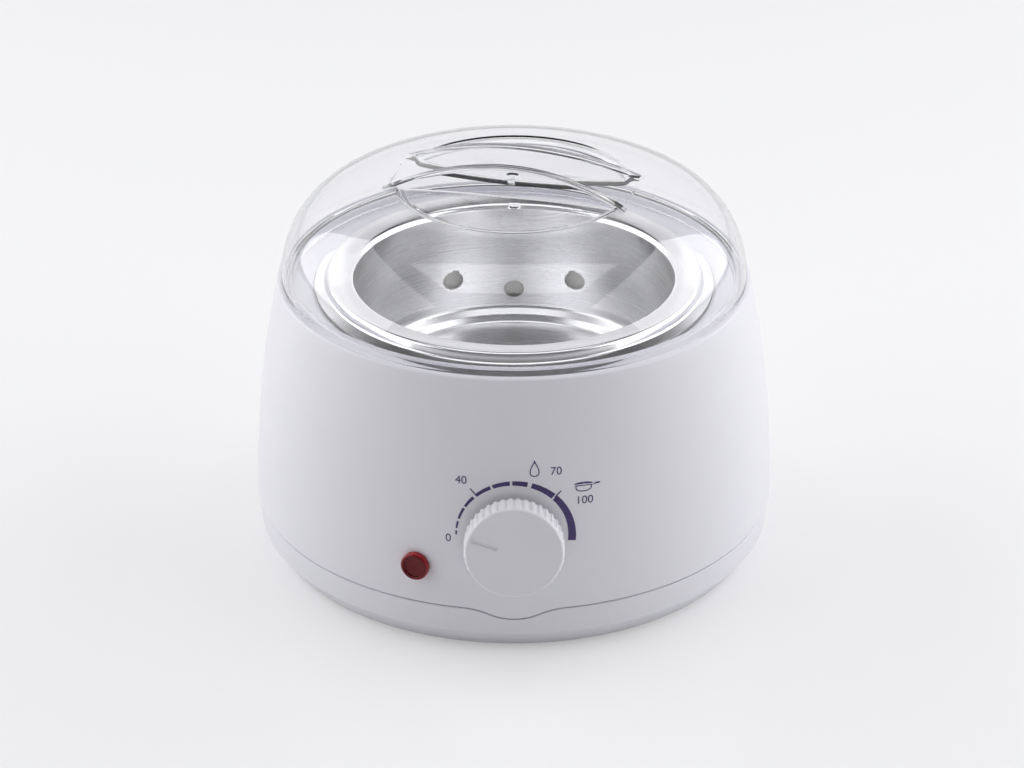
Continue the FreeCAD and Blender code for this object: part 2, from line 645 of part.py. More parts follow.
def bracket_screw(u):
    back = BRACKET_W - BRACKET_THICK
    head_r, head_height = BRACKET_HEAD
    shank = rod(u, 0, back, BRACKET_PILOT_END_W - STUD_CLEAR, BRACKET_SCREW_R)
    return placed(rod(u, 0, back - head_height, back, head_r).fuse(shank), DIAL)


def thermostat_nut():
    nut = hexagon(BUSH_NUT_R, BRACKET_W, BRACKET_W + BUSH_NUT_HEIGHT)
    return placed(nut.cut(rod(0, 0, BRACKET_W, BRACKET_W + BUSH_NUT_HEIGHT, BUSH_R + THREAD_CLEAR)), DIAL)


BODY_MIDDLE_W = BRACKET_W - BRACKET_THICK - BODY_DEPTH / 2


def thermostat_tab(u):
    tab = slab((u - TAB_WIDTH / 2, u + TAB_WIDTH / 2), (-BODY_HALF[1] - TAB_LENGTH, -BODY_HALF[1]),
               (BODY_MIDDLE_W - TAB_THICK / 2, BODY_MIDDLE_W + TAB_THICK / 2))
    return placed(tab, DIAL)


def tab_end(u):
    return DIAL.multVec(Vector(u, -BODY_HALF[1] - TAB_LENGTH - END_GAP, BODY_MIDDLE_W))


def capillary_tube():
    """Thin tube from the sensor's end down through the shield and forward to the thermostat."""
    low_z = SHIELD_FLOOR_Z - CAPILLARY_DROP
    body_end = DIAL.multVec(Vector(CAPILLARY_U, -BODY_HALF[1] - END_GAP, BODY_MIDDLE_W))
    route = [(BULB_HALF, -PROBE_Y, PROBE_Z), (CAPILLARY_X, -PROBE_Y, PROBE_Z), (CAPILLARY_X, -PROBE_Y, low_z),
             (body_end.x, body_end.y, low_z - CAPILLARY_DROP / 2), tuple(body_end)]
    return wire_along(route, CAPILLARY_R, CAPILLARY_BEND)


def lamp_lens():
    """Round lens with a raised rim, hollow behind for the bulb."""
    rim_inner, rim_outer = LENS_RIM
    front = [(0, LENS_FACE), (rim_inner, LENS_FACE), (rim_inner, LENS_HEIGHT), (rim_outer, LENS_HEIGHT),
             (LENS_R, LENS_SHOULDER), (LENS_R, LENS_SEAT)]
    barrel = [(LENS_BODY_R, LENS_SEAT), (LENS_BODY_R, -LENS_LENGTH), (LENS_BORE_R, -LENS_LENGTH),
              (LENS_BORE_R, LENS_BORE_TOP), (0, LENS_BORE_TOP)]
    return placed(spun(front + barrel), LAMP)


def neon_bulb():
    low, high = BULB_SPAN
    bulb = rod(0, 0, low, high - BULB_R, BULB_R).fuse(Part.makeSphere(BULB_R, Vector(0, 0, high - BULB_R)))
    return placed(bulb.fuse(rod(0, 0, PINCH_END, low, PINCH_R)).removeSplitter(), LAMP)


def cord_gland():
    """Threaded gland with a collar outside the rear wall, a bore for the mains cord and room behind it."""
    gland = spun([(GLAND_CAVITY_R, GLAND_START_Y), (GLAND_THREAD_R, GLAND_START_Y),
                  (GLAND_THREAD_R, GLAND_FACE_Y), (GLAND_COLLAR_R, GLAND_FACE_Y),
                  (GLAND_COLLAR_R, GLAND_COLLAR_END_Y), (GLAND_NOSE_R, GLAND_END_Y),
                  (GLAND_BORE_R, GLAND_END_Y), (GLAND_BORE_R, GLAND_BORE_START_Y),
                  (GLAND_CAVITY_R, GLAND_BORE_START_Y)])
    return placed(gland, REAR)


def gland_nut():
    low = GLAND_PAD_Y[0] - GLAND_NUT_HEIGHT
    bore = rod(0, 0, low, GLAND_PAD_Y[0], GLAND_THREAD_R + THREAD_CLEAR)
    nut = hexagon(GLAND_NUT_R, low, GLAND_PAD_Y[0]).cut(bore)
    return placed(nut, REAR)


REAR = Placement(Vector(0, 0, GLAND_Z), Rotation(Vector(1, 0, 0), -90))
BLOCK_TOP_Z = BASE_FLOOR_Z + BLOCK_HEIGHT


def terminal_block():
    span_x = (BLOCK_PINS_X[0] - BLOCK_MARGIN, BLOCK_PINS_X[-1] + BLOCK_MARGIN)
    block = slab(span_x, BLOCK_Y, (BASE_FLOOR_Z, BLOCK_TOP_Z))
    cuts = [rod(x, BLOCK_SCREW_Y, BLOCK_SCREW_SPAN_Z[0], BLOCK_TOP_Z, BLOCK_HOLE_R) for x in BLOCK_PINS_X]
    for x in BLOCK_PINS_X:
        cuts.append(Part.makeCylinder(ENTRY_R, ENTRY_DEPTH, Vector(x, BLOCK_Y[0], WIRE_Z), Vector(0, 1, 0)))
    return block.cut(cuts)


def terminal_screw(x):
    return rod(x, BLOCK_SCREW_Y, *BLOCK_SCREW_SPAN_Z, BLOCK_SCREW_R)


def entry(pin):
    """Point inside the terminal block where a wire ends."""
    return (BLOCK_PINS_X[pin], BLOCK_Y[0] + ENTRY_DEPTH - STUD_CLEAR, WIRE_Z)


def lead_live():
    end = tab_end(TAB_U[0])
    x = BLOCK_PINS_X[2]
    return wire_along([entry(2), (x, end.y + JOG, WIRE_Z), (end.x, end.y, WIRE_Z), tuple(end)])


def lead_heater():
    """From the thermostat to the fuse, and from the fuse to one leg of the ring."""
    start = tab_end(TAB_U[1])
    low_z = RING_LEG_END_Z - 2 * WIRE_BEND
    to_fuse = [tuple(start), (start.x, start.y, low_z), (-LEAD_RISER_X, PROBE_Y, low_z),
               (-LEAD_RISER_X, PROBE_Y, PROBE_Z), (-FUSE_HALF, PROBE_Y, PROBE_Z)]
    to_leg = [(FUSE_HALF, PROBE_Y, PROBE_Z), (LEAD_RISER_X, PROBE_Y, PROBE_Z), (LEAD_RISER_X, PROBE_Y, low_z),
              (LEG_RIGHT.x, LEG_RIGHT.y, low_z), tuple(LEG_RIGHT)]
    return [wire_along(to_fuse), wire_along(to_leg)]


def lead_neutral():
    turn = (BLOCK_PINS_X[3], BLOCK_Y[0] - JOG, WIRE_Z)
    return wire_along([entry(3), turn, (LEG_LEFT.x, LEG_LEFT.y, WIRE_Z), tuple(LEG_LEFT)])


def lead_earth():
    x = BLOCK_PINS_X[5]
    return wire_along([entry(5), (x, 0, WIRE_Z), (x, 0, BRIDGE_TOP_Z - BRIDGE_THICK)])


def lead_lamp():
    """Two wires from the neon bulb; the second is broken by the resistor."""
    leads = []
    for u, pin in ((-PIN_U, 0), (PIN_U, 1)):
        x = BLOCK_PINS_X[pin]
        tail = LAMP.multVec(Vector(u, 0, PINCH_END - JOG))
        stop = entry(pin) if pin == 0 else (x, RESISTOR_SPAN_Y[0], WIRE_Z)
        route = [tuple(LAMP.multVec(Vector(u, 0, PINCH_END))), tuple(tail), (x, tail.y + JOG, WIRE_Z), stop]
        leads.append(wire_along(route, LAMP_WIRE_R))
    rest = Vector(BLOCK_PINS_X[1], RESISTOR_SPAN_Y[1], WIRE_Z)
    leads.append(Part.makeCylinder(LAMP_WIRE_R, entry(1)[1] - rest.y, rest, Vector(0, 1, 0)))
    return leads


def lamp_resistor():
    low, high = RESISTOR_SPAN_Y
    return Part.makeCylinder(RESISTOR_R, high - low, Vector(BLOCK_PINS_X[1], low, WIRE_Z), Vector(0, 1, 0))


def dome_arcs(inset):
    """Edges of the lid's domed wall, drawn in by inset, with the first and last points."""
    centre = (LID_R - LID_RADII[0], RIM_Z)
    angle = 0.0
    edges = []
    ends = []
    for k, (radius, sweep) in enumerate(zip(LID_RADII, LID_SWEEPS_DEG)):
        if k:
            shift = LID_RADII[k - 1] - radius
            centre = (centre[0] + shift * math.cos(angle), centre[1] + shift * math.sin(angle))
        stops = [angle + math.radians(sweep) * t for t in (0, 0.5, 1)]
        drawn = radius - inset
        points = [(centre[0] + drawn * math.cos(a), centre[1] + drawn * math.sin(a)) for a in stops]
        edges.append(section_arc(*points))
        ends += [points[0], points[2]]
        angle = stops[2]
    return edges, ends[0], ends[-1]


def dome(inset):
    """Solid dome with its dished top, drawn in by inset."""
    edges, first, last = dome_arcs(inset)
    corners = [last, (DISH_EDGE_R, DISH_EDGE_Z - inset), (0, DISH_CENTRE_Z - inset), (0, RIM_Z), first]
    edges += [section_line(a, b) for a, b in zip(corners, corners[1:])]
    return spun(Part.Wire(Part.__sortEdges__(edges)))


def grip(inset):
    """Arched bar across the dish, waisted in the middle, drawn in by inset."""
    half = GRIP_HALF_WIDTH - inset
    end_half = GRIP_END_HALF_WIDTH - inset
    length = GRIP_HALF_LENGTH - inset
    outline = []
    for side in (1, -1):
        widths = ((-length, side * end_half), (0, side * half), (length, side * end_half))
        outline.append(Part.Arc(*[Vector(x, y, GRIP_FOOT_Z) for x, y in widths]).toShape())
        corners = [Vector(side * length, y, GRIP_FOOT_Z) for y in (-end_half, end_half)]
        outline.append(Part.LineSegment(*corners).toShape())
    bar = Part.Face(Part.Wire(Part.__sortEdges__(outline))).extrude(UP * GRIP_RISE)
    arch_centre = Vector(0, -2 * GRIP_END_HALF_WIDTH, GRIP_CREST_Z - GRIP_ARCH_R)
    arch = Part.makeCylinder(GRIP_ARCH_R - inset, 4 * GRIP_END_HALF_WIDTH, arch_centre, Vector(0, 1, 0))
    bar = bar.common(arch)
    if inset == 0:
        tall = [e for e in bar.Edges if abs(e.BoundBox.ZMax - GRIP_CREST_Z) < 0.1]
        crest = [e for e in tall if e.BoundBox.ZMin > GRIP_FOOT_Z]
        bar = bar.makeFillet(GRIP_FILLET, crest)
    return placed(bar, Placement(Vector(), Rotation(UP, GRIP_TURN_DEG)))


def lid():
    outer = dome(0).fuse(grip(0))
    inner = dome(LID_WALL).fuse(grip(GRIP_WALL))
    shell = outer.cut(inner)
    skirt = washer(SKIRT_R - SKIRT_WALL, SKIRT_R, SKIRT_BOTTOM_Z, RIM_Z + SKIRT_WALL)
    vents = [rod(0, y, GRIP_FOOT_Z, GRIP_CREST_Z, VENT_R) for y in (-VENT_Y, VENT_Y)]
    return shell.fuse(skirt).cut(vents).removeSplitter()


def group(solids):
    return Part.makeCompound(solids)


PARTS = {
    "upper_housing": upper_housing(),
    "base_pan": base_pan(),
    "heating_well": heating_well(),
    "rim_gasket": washer(*GASKET_WALL, REBATE_Z, GASKET_TOP_Z),
    "insulation_sleeve": washer(*SLEEVE_WALL, SHIELD_FLOOR_Z, LEDGE_BOTTOM_Z),
    "heat_shield": heat_shield(),
    "heater_disc": heater_disc(),
    "heating_ring": heating_ring(),
    "clamp_bridge": clamp_bridge(),
    "centre_stud": centre_stud(),
    "stud_nuts": group([stud_nut(UPPER_NUT_Z), stud_nut(LOWER_NUT_Z)]),
    "spacer_tube": washer(STUD_R + STUD_CLEAR, SPACER_R, SHIELD_FLOOR_Z, UPPER_NUT_Z),
    "support_bridge": support_bridge(),
    "bridge_screws": group([bridge_screw(x) for x in (-PILLAR_X, PILLAR_X)]),
    "thermal_fuse": probe(PROBE_Y, FUSE_HALF),
    "sensor_bulb": probe(-PROBE_Y, BULB_HALF),
    "capillary_tube": capillary_tube(),
    "thermostat_body": thermostat_body(),
    "thermostat_bracket": thermostat_bracket(),
    "thermostat_nut": thermostat_nut(),
    "thermostat_terminals": group([thermostat_tab(u) for u in TAB_U]),
    "bracket_screws": group([bracket_screw(u) for u in (-BRACKET_SCREW_U, BRACKET_SCREW_U)]),
    "lamp_lens": lamp_lens(),
    "neon_bulb": neon_bulb(),
    "lamp_clip": placed(washer(*CLIP_RING, *CLIP_RING_W), LAMP),
    "lamp_resistor": lamp_resistor(),
    "terminal_block": terminal_block(),
    "terminal_screws": group([terminal_screw(x) for x in BLOCK_PINS_X]),
    "cord_gland": cord_gland(),
    "gland_nut": gland_nut(),
    "base_screws": group(around(base_screw(), BOSS_COUNT, BOSS_START_DEG)),
    "lead_live": lead_live(),
    "lead_neutral": lead_neutral(),
    "lead_heater": group(lead_heater()),
    "lead_lamp": group(lead_lamp()),
    "lead_earth": lead_earth(),
    "dial_knob": dial_knob(),
    "knob_clip": knob_clip(),
    "thermostat_shaft": thermostat_shaft(),
    "lid": lid(),
}
for name, (x, y) in FEET.items():
    PARTS["foot_" + name] = placed(foot(), Placement(Vector(x, y, 0) * FOOT_RING_R, Rotation()))

os.makedirs("parts", exist_ok=True)
for name, shape in PARTS.items():
    shape.exportStep("parts/" + name + ".step")
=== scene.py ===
"""A round wax heater with a clear lid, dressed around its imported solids.

Pieces are drawn in millimetres about the heater's own axis and scaled to metres when they are placed.
"""
import json
import math

import bmesh
import bpy
from bmesh.types import BMEdge, BMFace, BMVert
from bpy.props import FloatProperty, FloatVectorProperty, IntProperty, PointerProperty
from mathutils import Matrix, Vector


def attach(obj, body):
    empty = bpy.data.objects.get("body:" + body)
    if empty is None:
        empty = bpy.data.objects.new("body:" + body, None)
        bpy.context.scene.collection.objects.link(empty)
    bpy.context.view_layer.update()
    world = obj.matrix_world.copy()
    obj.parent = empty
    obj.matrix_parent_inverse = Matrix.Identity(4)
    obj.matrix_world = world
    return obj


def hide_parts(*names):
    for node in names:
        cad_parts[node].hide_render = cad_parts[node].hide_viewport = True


bl_info = {
    "name": "Wax Heater",
    "version": (1, 0, 0),
    "blender": (4, 5, 0),
    "location": "View3D > Sidebar > Wax Heater",
    "description": "Builds a wax heater with a spun well, a clear lid, a dial and a lamp",
    "category": "Add Mesh",
}

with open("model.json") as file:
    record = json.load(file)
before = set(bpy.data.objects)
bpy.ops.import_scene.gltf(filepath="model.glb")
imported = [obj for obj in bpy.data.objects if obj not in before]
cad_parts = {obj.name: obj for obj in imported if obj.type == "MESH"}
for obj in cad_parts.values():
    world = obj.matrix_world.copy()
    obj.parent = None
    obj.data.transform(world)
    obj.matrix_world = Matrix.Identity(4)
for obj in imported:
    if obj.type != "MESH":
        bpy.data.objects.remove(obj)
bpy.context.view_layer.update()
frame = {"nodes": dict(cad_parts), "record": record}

MM = 0.001
UP = Vector((0, 0, 1))
SLOT_OF = {part["node"]: part["material_slot"] for part in frame["record"]["subparts"]}

# Body: an arc through three points of its wall, each a radius and a height
WALL_ARC = ((86.9, 17.4), (84.35, 55.95), (77.7, 94.5))
SEAM_R, SEAM_Z = WALL_ARC[0]
RIM_Z = WALL_ARC[2][1]
HOUSING_WALL = 2.5
RIM_FILLET, RIM_INNER_EDGE = 1.1, 0.5
RIM_INNER_R = 74.9
LEDGE_Z, LEDGE_EDGE = 90.3, 0.4
LEDGE_BOTTOM_Z = 88.0
REBATE_R, REBATE_Z, REBATE_EDGE = 66.2, 89.9, 0.2
OPENING_R = 62.0
WALL_STEPS, INNER_WALL_STEPS = 30, 28
DIP_HALF_WIDTH, DIP_DEPTH, DIP_FADE_Z = 16.0, 3.6, 34.0

# Base: the chamfer gets a ring at each share of its height in CHAMFER_STEPS, which keeps its shading flat
SEAM_GAP = 0.4
BAND_R, BAND_Z, BAND_EDGE, BAND_STEPS = 86.0, 8.0, 0.4, 5
BAND_DIP_FOOT, HAIR = 1.5, 0.05
BASE_R, BASE_Z, BASE_EDGE = 80.8, 1.1, 0.5
CHAMFER_STEPS = (0.12, 0.88)
BASE_FLOOR_R, BASE_FLOOR_Z, BASE_WALL = 79.6, 3.6, 2.5
LIP_R, LIP_WALL, LIP_TOP_Z, LIP_ROOT_Z = 84.0, 1.8, 20.4, 11.5
BOSSES, BOSS_RING_R = (45, 135, 225, 315), 76.0
POST_R, POST_ROOT, POST_TOP_Z = 4.8, 0.6, 20.5
CUT_START_Z = -1.0
COUNTERBORE_R, COUNTERBORE_TOP_Z = 3.8, 9.0
VENT_ROWS, VENT_PITCH, VENT_WIDTH, VENT_LENGTH = 7, 8.0, 2.4, 30.0
VENT_CUT, VENT_CUT_Z = 8.0, 2.0
FEET = {"foot_right": 0, "foot_back": 90, "foot_left": 180, "foot_front": 270}
FOOT_RING_R = 66.0
FOOT_R, FOOT_EDGE, FOOT_SEAT_Z = 8.0, 0.6, 1.9
FOOT_HOLLOW, FOOT_HOLLOW_SIDES = 0.25, (2.6, 2.4)
FOOT_STEM_R, FOOT_BARB_R, FOOT_TIP_Z = 2.5, 3.4, 5.6
FOOT_CLEAR = 0.15

# Well: corners of its upper side and the bend at each, and the heights where satin turns to polish
WELL_PATH = ((65.6, 91.6, 0), (62.3, 92.4, 0.8), (61.4, 95.3, 1.1), (52.6, 94.35, 2.2), (51.0, 57.5, 2.0),
             (48.2, 55.4, 1.2), (46.6, 53.0, 1.5), (0, 53.0, 0))
WELL_HOLES = ((-21.0, 69.5), (0.0, 64.5), (21.0, 69.5))
WELL_HOLE_R, WELL_HOLE_SPAN = 3.5, (35, 60)
SATIN_TOP = (88.0, 92.0)

# Lid: radius and sweep of each arc of its domed wall
LID_R = 76.5
LID_ARCS = ((33.3, 23.8), (26.7, 42.1), (58.4, 22.4))
DISH_EDGE_R, DISH_EDGE_Z, DISH_CENTRE_Z = 36.2, 124.9, 124.0
LID_FOOT_EDGE, LID_ARC_STEPS = 0.5, 14
SKIRT_R, SKIRT_WALL, SKIRT_BOTTOM_Z = 74.6, 2.0, 91.8
SKIRT_FOOT_EDGE, SKIRT_ROOT_EDGE = 0.4, 0.3
GRIP_TURN_DEG = -13.25
GRIP_CREST_Z, GRIP_ARCH_R, GRIP_FOOT_Z = 135.4, 91.0, 118.0
GRIP_HALF_LENGTH, GRIP_HALF_WIDTH, GRIP_END_HALF_WIDTH = 46.0, 6.6, 12.8
GRIP_FILLET, GRIP_FOLD, INNER_FOLD, GRIP_RISE = 1.9, 1.0, 0.3, 20.0
GRIP_STEPS, FOLD_STEPS, FOLD_GAP = 64, 6, 0.1
LID_VENT_R, LID_VENT_Y = 2.0, 14.5

# Dial and lamp
DIAL_Z, DIAL_TILT_DEG = 42.0, 3.5
KNOB_R, KNOB_FACE_R = 15.75, 15.05
KNOB_BACK, KNOB_FRONT, KNOB_SHOULDER, KNOB_SKIN = 2.0, 9.0, 1.4, 1.9
KNOB_FILLET, KNOB_FILLET_STEPS = 0.9, 6
KNOB_BACK_RIM, SHOULDER_HALF, SHOULDER_IN = 0.2, 0.15, 0.06
KNOB_FACE_RINGS = (3.0, 6.0, 10.0)
FLUTE_R, FLUTE_RING_R = 0.9, 16.15
HUB_R, HUB_BORE_R = 5.2, 3.05
POINTER_SPAN, POINTER_WIDTH, POINTER_DEPTH = (5.4, 14.2), 1.6, 0.4
LAMP_ANGLE_DEG, LAMP_Z = -20.9, 30.5
LENS_R, LENS_HEIGHT, LENS_SHOULDER, LENS_SEAT = 4.6, 2.3, 1.7, 0.05
LENS_RIM_INNER_R, LENS_RIM_R, LENS_FACE = 3.3, 4.1, 1.8
# The lens's red is painted lighter from this share of its radius outwards: a painted glow standing in for light
# caught at its edge
LENS_LATTICE, LENS_PAINTED_GLOW_FROM = 1.7, 0.86
LENS_BODY_R, LENS_LENGTH, LENS_BORE_R, LENS_BORE_TOP = 3.8, 6.0, 2.7, 1.0

# Printed scale, about its own centre above the dial's: start and end of each dash, in degrees, and the ticks
SCALE_RISE = 1.34
SCALE_DASHES = ((180.0, 175.8), (173.1, 165.5), (162.5, 149.7), (147.5, 134.2), (131.1, 114.0),
                (111.7, 94.2), (91.8, 76.8), (72.7, 47.7), (45.6, -6.3))
SCALE_STEP = 1.5
SCALE_TICKS = (130.6, 46.0)
TICK_SPAN, TICK_WIDTH = (18.1, 21.0), 0.4
CAP_HEIGHT = 0.72
NUMERALS = (("0", -20.6, -1.5), ("40", -16.5, 18.5), ("70", 13.0, 21.7), ("100", 21.9, 11.3))
DROP_PLACE, DROP_SIZE, DROP_FULLNESS, DROP_TAPER, DROP_POINTS = (6.3, 22.9), (3.4, 5.4), 1.3, 1.5, 28
DISH_PLACE, DISH_POINTS = (21.6, 16.2), 16
DISH_BOWL_R, DISH_BOWL_DEPTH, DISH_BOWL_TOP, DISH_ROUNDNESS = 2.6, 2.2, 0.2, 0.5
DISH_COVER_R, DISH_COVER_RISE, DISH_COVER_FOOT = 3.0, 0.7, 0.5
DISH_HANDLE = ((2.6, -0.2), (3.6, 0.1), (4.7, 0.2), (5.3, 0.5), (4.7, 0.8), (3.6, 0.6))
SIGN_LINE = 0.32
INK_DEPTH, INK_ROOT = 0.05, 0.02
SETTLING_ROUNDS = 6

# Cord gland at the rear
GLAND_Z, GLAND_FACE_Y = 33.0, 84.9
GLAND_COLLAR_R, GLAND_COLLAR_END_Y = 9.2, 90.5
GLAND_NOSE_R, GLAND_END_Y = 6.0, 96.0
GLAND_THREAD_R, GLAND_START_Y = 6.3, 72.0
GLAND_BORE_R, GLAND_BORE_START_Y, GLAND_CAVITY_R = 3.3, 87.5, 4.4
GLAND_SEAT_R = 9.6
GLAND_RIBS = 24
GROOVE_R, GROOVE_OUT, GROOVE_START, GROOVE_PAST = 0.7, 0.35, 1.2, 3.0

# Stage: azimuth of each lamp from the front, its elevation, its width and height in metres, and its watts.
# The wall and the dark change over a span of the direction that goes straight back, from -1 to 1.
LAMP_AIM, LAMP_DISTANCE = Vector((0, 0, 0.06)), 1.2
STAGE_LAMPS = {
    "left": (-96, 28, (1.8, 1.3), 12.0),
    "right": (95, 28, (1.8, 1.3), 13.4),
    "overhead": (180, 86, (1.0, 0.8), 3.6),
}
WALL_SIDES, WALL_TOPS, WALL_FADE = (-0.3, 0.5), (0.12, 0.60), 0.06
DARK_SIDES, DARK = (0.1, 0.4), (0.02, 0.02, 0.02)
FLOOR_HALF_WIDTH = 8.0
CAMERA_PLACE, CAMERA_LOOK = Vector((-0.00067, -0.8873, 0.5137)), Vector((0, 0.8873, -0.4611))
SENSOR_WIDTH = 36

# Fibre cloth: radius of the sleeve that its threads run round, and waves of thread in radians per metre
CLOTH_R, CLOTH_WAVES = 58.0, 4200


def circle_through(a, b, c):
    """Centre and radius of the circle through three points of radius and height."""
    (ax, ay), (bx, by), (cx, cy) = a, b, c
    d = 2 * (ax * (by - cy) + bx * (cy - ay) + cx * (ay - by))
    sq = [p[0] ** 2 + p[1] ** 2 for p in (a, b, c)]
    x = (sq[0] * (by - cy) + sq[1] * (cy - ay) + sq[2] * (ay - by)) / d
    y = (sq[0] * (cx - bx) + sq[1] * (ax - cx) + sq[2] * (bx - ax)) / d
    return (x, y), math.hypot(ax - x, ay - y)


WALL_CENTRE, WALL_RADIUS = circle_through(*WALL_ARC)


def wall_angle(z, inset=0.0):
    """Angle on the wall's arc at height z, in degrees."""
    return math.degrees(math.asin((z - WALL_CENTRE[1]) / (WALL_RADIUS - inset)))


def wall_radius(z, inset=0.0):
    """Radius of the body's wall at height z, or of the base's band below the seam."""
    if z < SEAM_Z:
        return BAND_R + (SEAM_R - BAND_R) * (z - BAND_Z) / (SEAM_Z - BAND_Z) - inset
    return WALL_CENTRE[0] + math.sqrt((WALL_RADIUS - inset) ** 2 - (z - WALL_CENTRE[1]) ** 2)


def on_wall(degrees, z, tilt):
    """Frame on the body's wall: X to the right, Y up the wall and Z outwards."""
    angle = math.radians(degrees)
    level = Vector((math.sin(angle), -math.cos(angle), 0))
    out = level * math.cos(math.radians(tilt)) + UP * math.sin(math.radians(tilt))
    right = UP.cross(out).normalized()
    turn = Matrix((right, out.cross(right), out)).transposed().to_4x4()
    return Matrix.Translation(level * wall_radius(z) + UP * z) @ turn


DIAL = on_wall(0, DIAL_Z, DIAL_TILT_DEG)
LAMP = on_wall(LAMP_ANGLE_DEG, LAMP_Z, wall_angle(LAMP_Z))
PRINT = DIAL @ Matrix.Translation((0, SCALE_RISE, 0))
REAR = Matrix.Translation((0, 0, GLAND_Z)) @ Matrix.Rotation(-math.pi / 2, 4, "X")


def seam_drop(x):
    """How far the seam dips at x, on the front: two arcs to each side, like a shallow wave."""
    x = abs(x)
    if x >= DIP_HALF_WIDTH:
        return 0.0
    arc_r = (DIP_HALF_WIDTH ** 2 + DIP_DEPTH ** 2) / (4 * DIP_DEPTH)
    if x < DIP_HALF_WIDTH / 2:
        return DIP_DEPTH - arc_r + math.sqrt(arc_r ** 2 - x ** 2)
    return arc_r - math.sqrt(arc_r ** 2 - (DIP_HALF_WIDTH - x) ** 2)


def lower_on_wall(vert, drop, along=True):
    """Moves a point down, along the outline of the wall or straight."""
    low = vert.co.z - drop
    reach = vert.co.xy.length
    grown = (reach + wall_radius(low) - wall_radius(vert.co.z)) / reach if along else 1
    vert.co = (vert.co.x * grown, vert.co.y * grown, low)


def on_ring(degrees, radius):
    """Place on a ring about the axis, with X outwards."""
    return Matrix.Rotation(math.radians(degrees), 4, "Z") @ Matrix.Translation((radius, 0, 0))


def picked(geom, kind):
    """Elements of one kind among those that a bmesh operator gives back."""
    return [item for item in geom if isinstance(item, kind)]


def merge(bm):
    """Merges doubles and turns the faces outwards."""
    bmesh.ops.remove_doubles(bm, verts=bm.verts, dist=1e-4)
    bmesh.ops.recalc_face_normals(bm, faces=bm.faces)
    return bm


class Section:
    """Half of a turned piece's cross-section, drawn in the XZ plane and turned about Z."""

    def __init__(self, r, z):
        self.bm = bmesh.new()
        self.first = self.tip = self.bm.verts.new((r, 0, z))
        self.rounds = []

    def round(self, fillet):
        """Marks the last corner to be rounded."""
        self.rounds.append((self.tip, fillet))
        return self

    def line(self, r, z, fillet=0.0):
        """Draws a straight run, whose end gets the fillet."""
        self.tip = bmesh.ops.extrude_vert_indiv(self.bm, verts=[self.tip])["verts"][0]
        self.tip.co = (r, 0, z)
        return self.round(fillet) if fillet else self

    def swing(self, centre, degrees, steps):
        """Draws an arc about a centre, counter-clockwise in radius and height."""
        grown = bmesh.ops.spin(self.bm, geom=[self.tip], cent=(centre[0], 0, centre[1]), axis=(0, -1, 0),
                               angle=math.radians(degrees), steps=steps)
        self.tip = picked(grown["geom_last"], BMVert)[0]
        return self

    def close(self):
        """Joins the last point to the first."""
        self.bm.edges.new((self.tip, self.first))
        return self

    def drawn(self, segments=5):
        """The section with its corners rounded."""
        for corner, radius in self.rounds:
            runs = [edge.other_vert(corner).co - corner.co for edge in corner.link_edges]
            reach = radius * math.tan((math.pi - runs[0].angle(runs[1])) / 2)
            bmesh.ops.bevel(self.bm, geom=[corner], offset=reach, offset_type="OFFSET", segments=segments,
                            profile=0.5, affect="VERTICES", material=-1)
        return self.bm

    def turn(self, steps, segments=5):
        """The piece that the section turns into."""
        bm = self.drawn(segments)
        bmesh.ops.spin(bm, geom=bm.verts[:] + bm.edges[:], cent=(0, 0, 0), axis=(0, 0, 1), angle=math.tau,
                       steps=steps, use_merge=True)
        return merge(bm)


def add_rod(bm, radius, low, high, at=Matrix(), segments=48):
    """Adds a closed rod along the Z axis of its place."""
    middle = Matrix.Translation((0, 0, (low + high) / 2))
    bmesh.ops.create_cone(bm, cap_ends=True, segments=segments, radius1=radius, radius2=radius,
                          depth=high - low, matrix=at @ middle)
    return bm


def add_block(bm, size, at):
    """Adds a box of that size about the middle of its place."""
    bmesh.ops.create_cube(bm, size=1, matrix=at @ Matrix.Diagonal((*size, 1)))
    return bm


def combine(bm, tool, operation):
    """The first mesh joined with or cut by the second."""
    pair = []
    for source in (bm, tool):
        mesh = bpy.data.meshes.new("combine")
        source.to_mesh(mesh)
        source.free()
        pair.append(bpy.data.objects.new("combine", mesh))
        bpy.context.scene.collection.objects.link(pair[-1])
    step = pair[0].modifiers.new("combine", "BOOLEAN")
    step.operation, step.solver, step.object = operation, "EXACT", pair[1]
    result = bmesh.new()
    result.from_object(pair[0], bpy.context.evaluated_depsgraph_get())
    for obj in pair:
        mesh = obj.data
        bpy.data.objects.remove(obj)
        bpy.data.meshes.remove(mesh)
    bmesh.ops.remove_doubles(result, verts=result.verts, dist=1e-4)
    bmesh.ops.dissolve_degenerate(result, dist=1e-4, edges=result.edges)
    return result


def place(bm, name, body, finish, nodes=(), at=None, crease=32):
    """Makes a finished mesh a piece of the heater that rides on a body."""
    if at is not None:
        bmesh.ops.transform(bm, matrix=at, verts=bm.verts)
    bmesh.ops.scale(bm, vec=(MM, MM, MM), verts=bm.verts)
    mesh = bpy.data.meshes.new(name)
    bm.to_mesh(mesh)
    bm.free()
    mesh.shade_smooth()
    mesh.set_sharp_from_angle(angle=math.radians(crease))
    mesh.materials.append(finish)
    piece = bpy.data.objects.new(name, mesh)
    bpy.context.scene.collection.objects.link(piece)
    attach(piece, body)
    if nodes:
        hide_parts(*nodes)


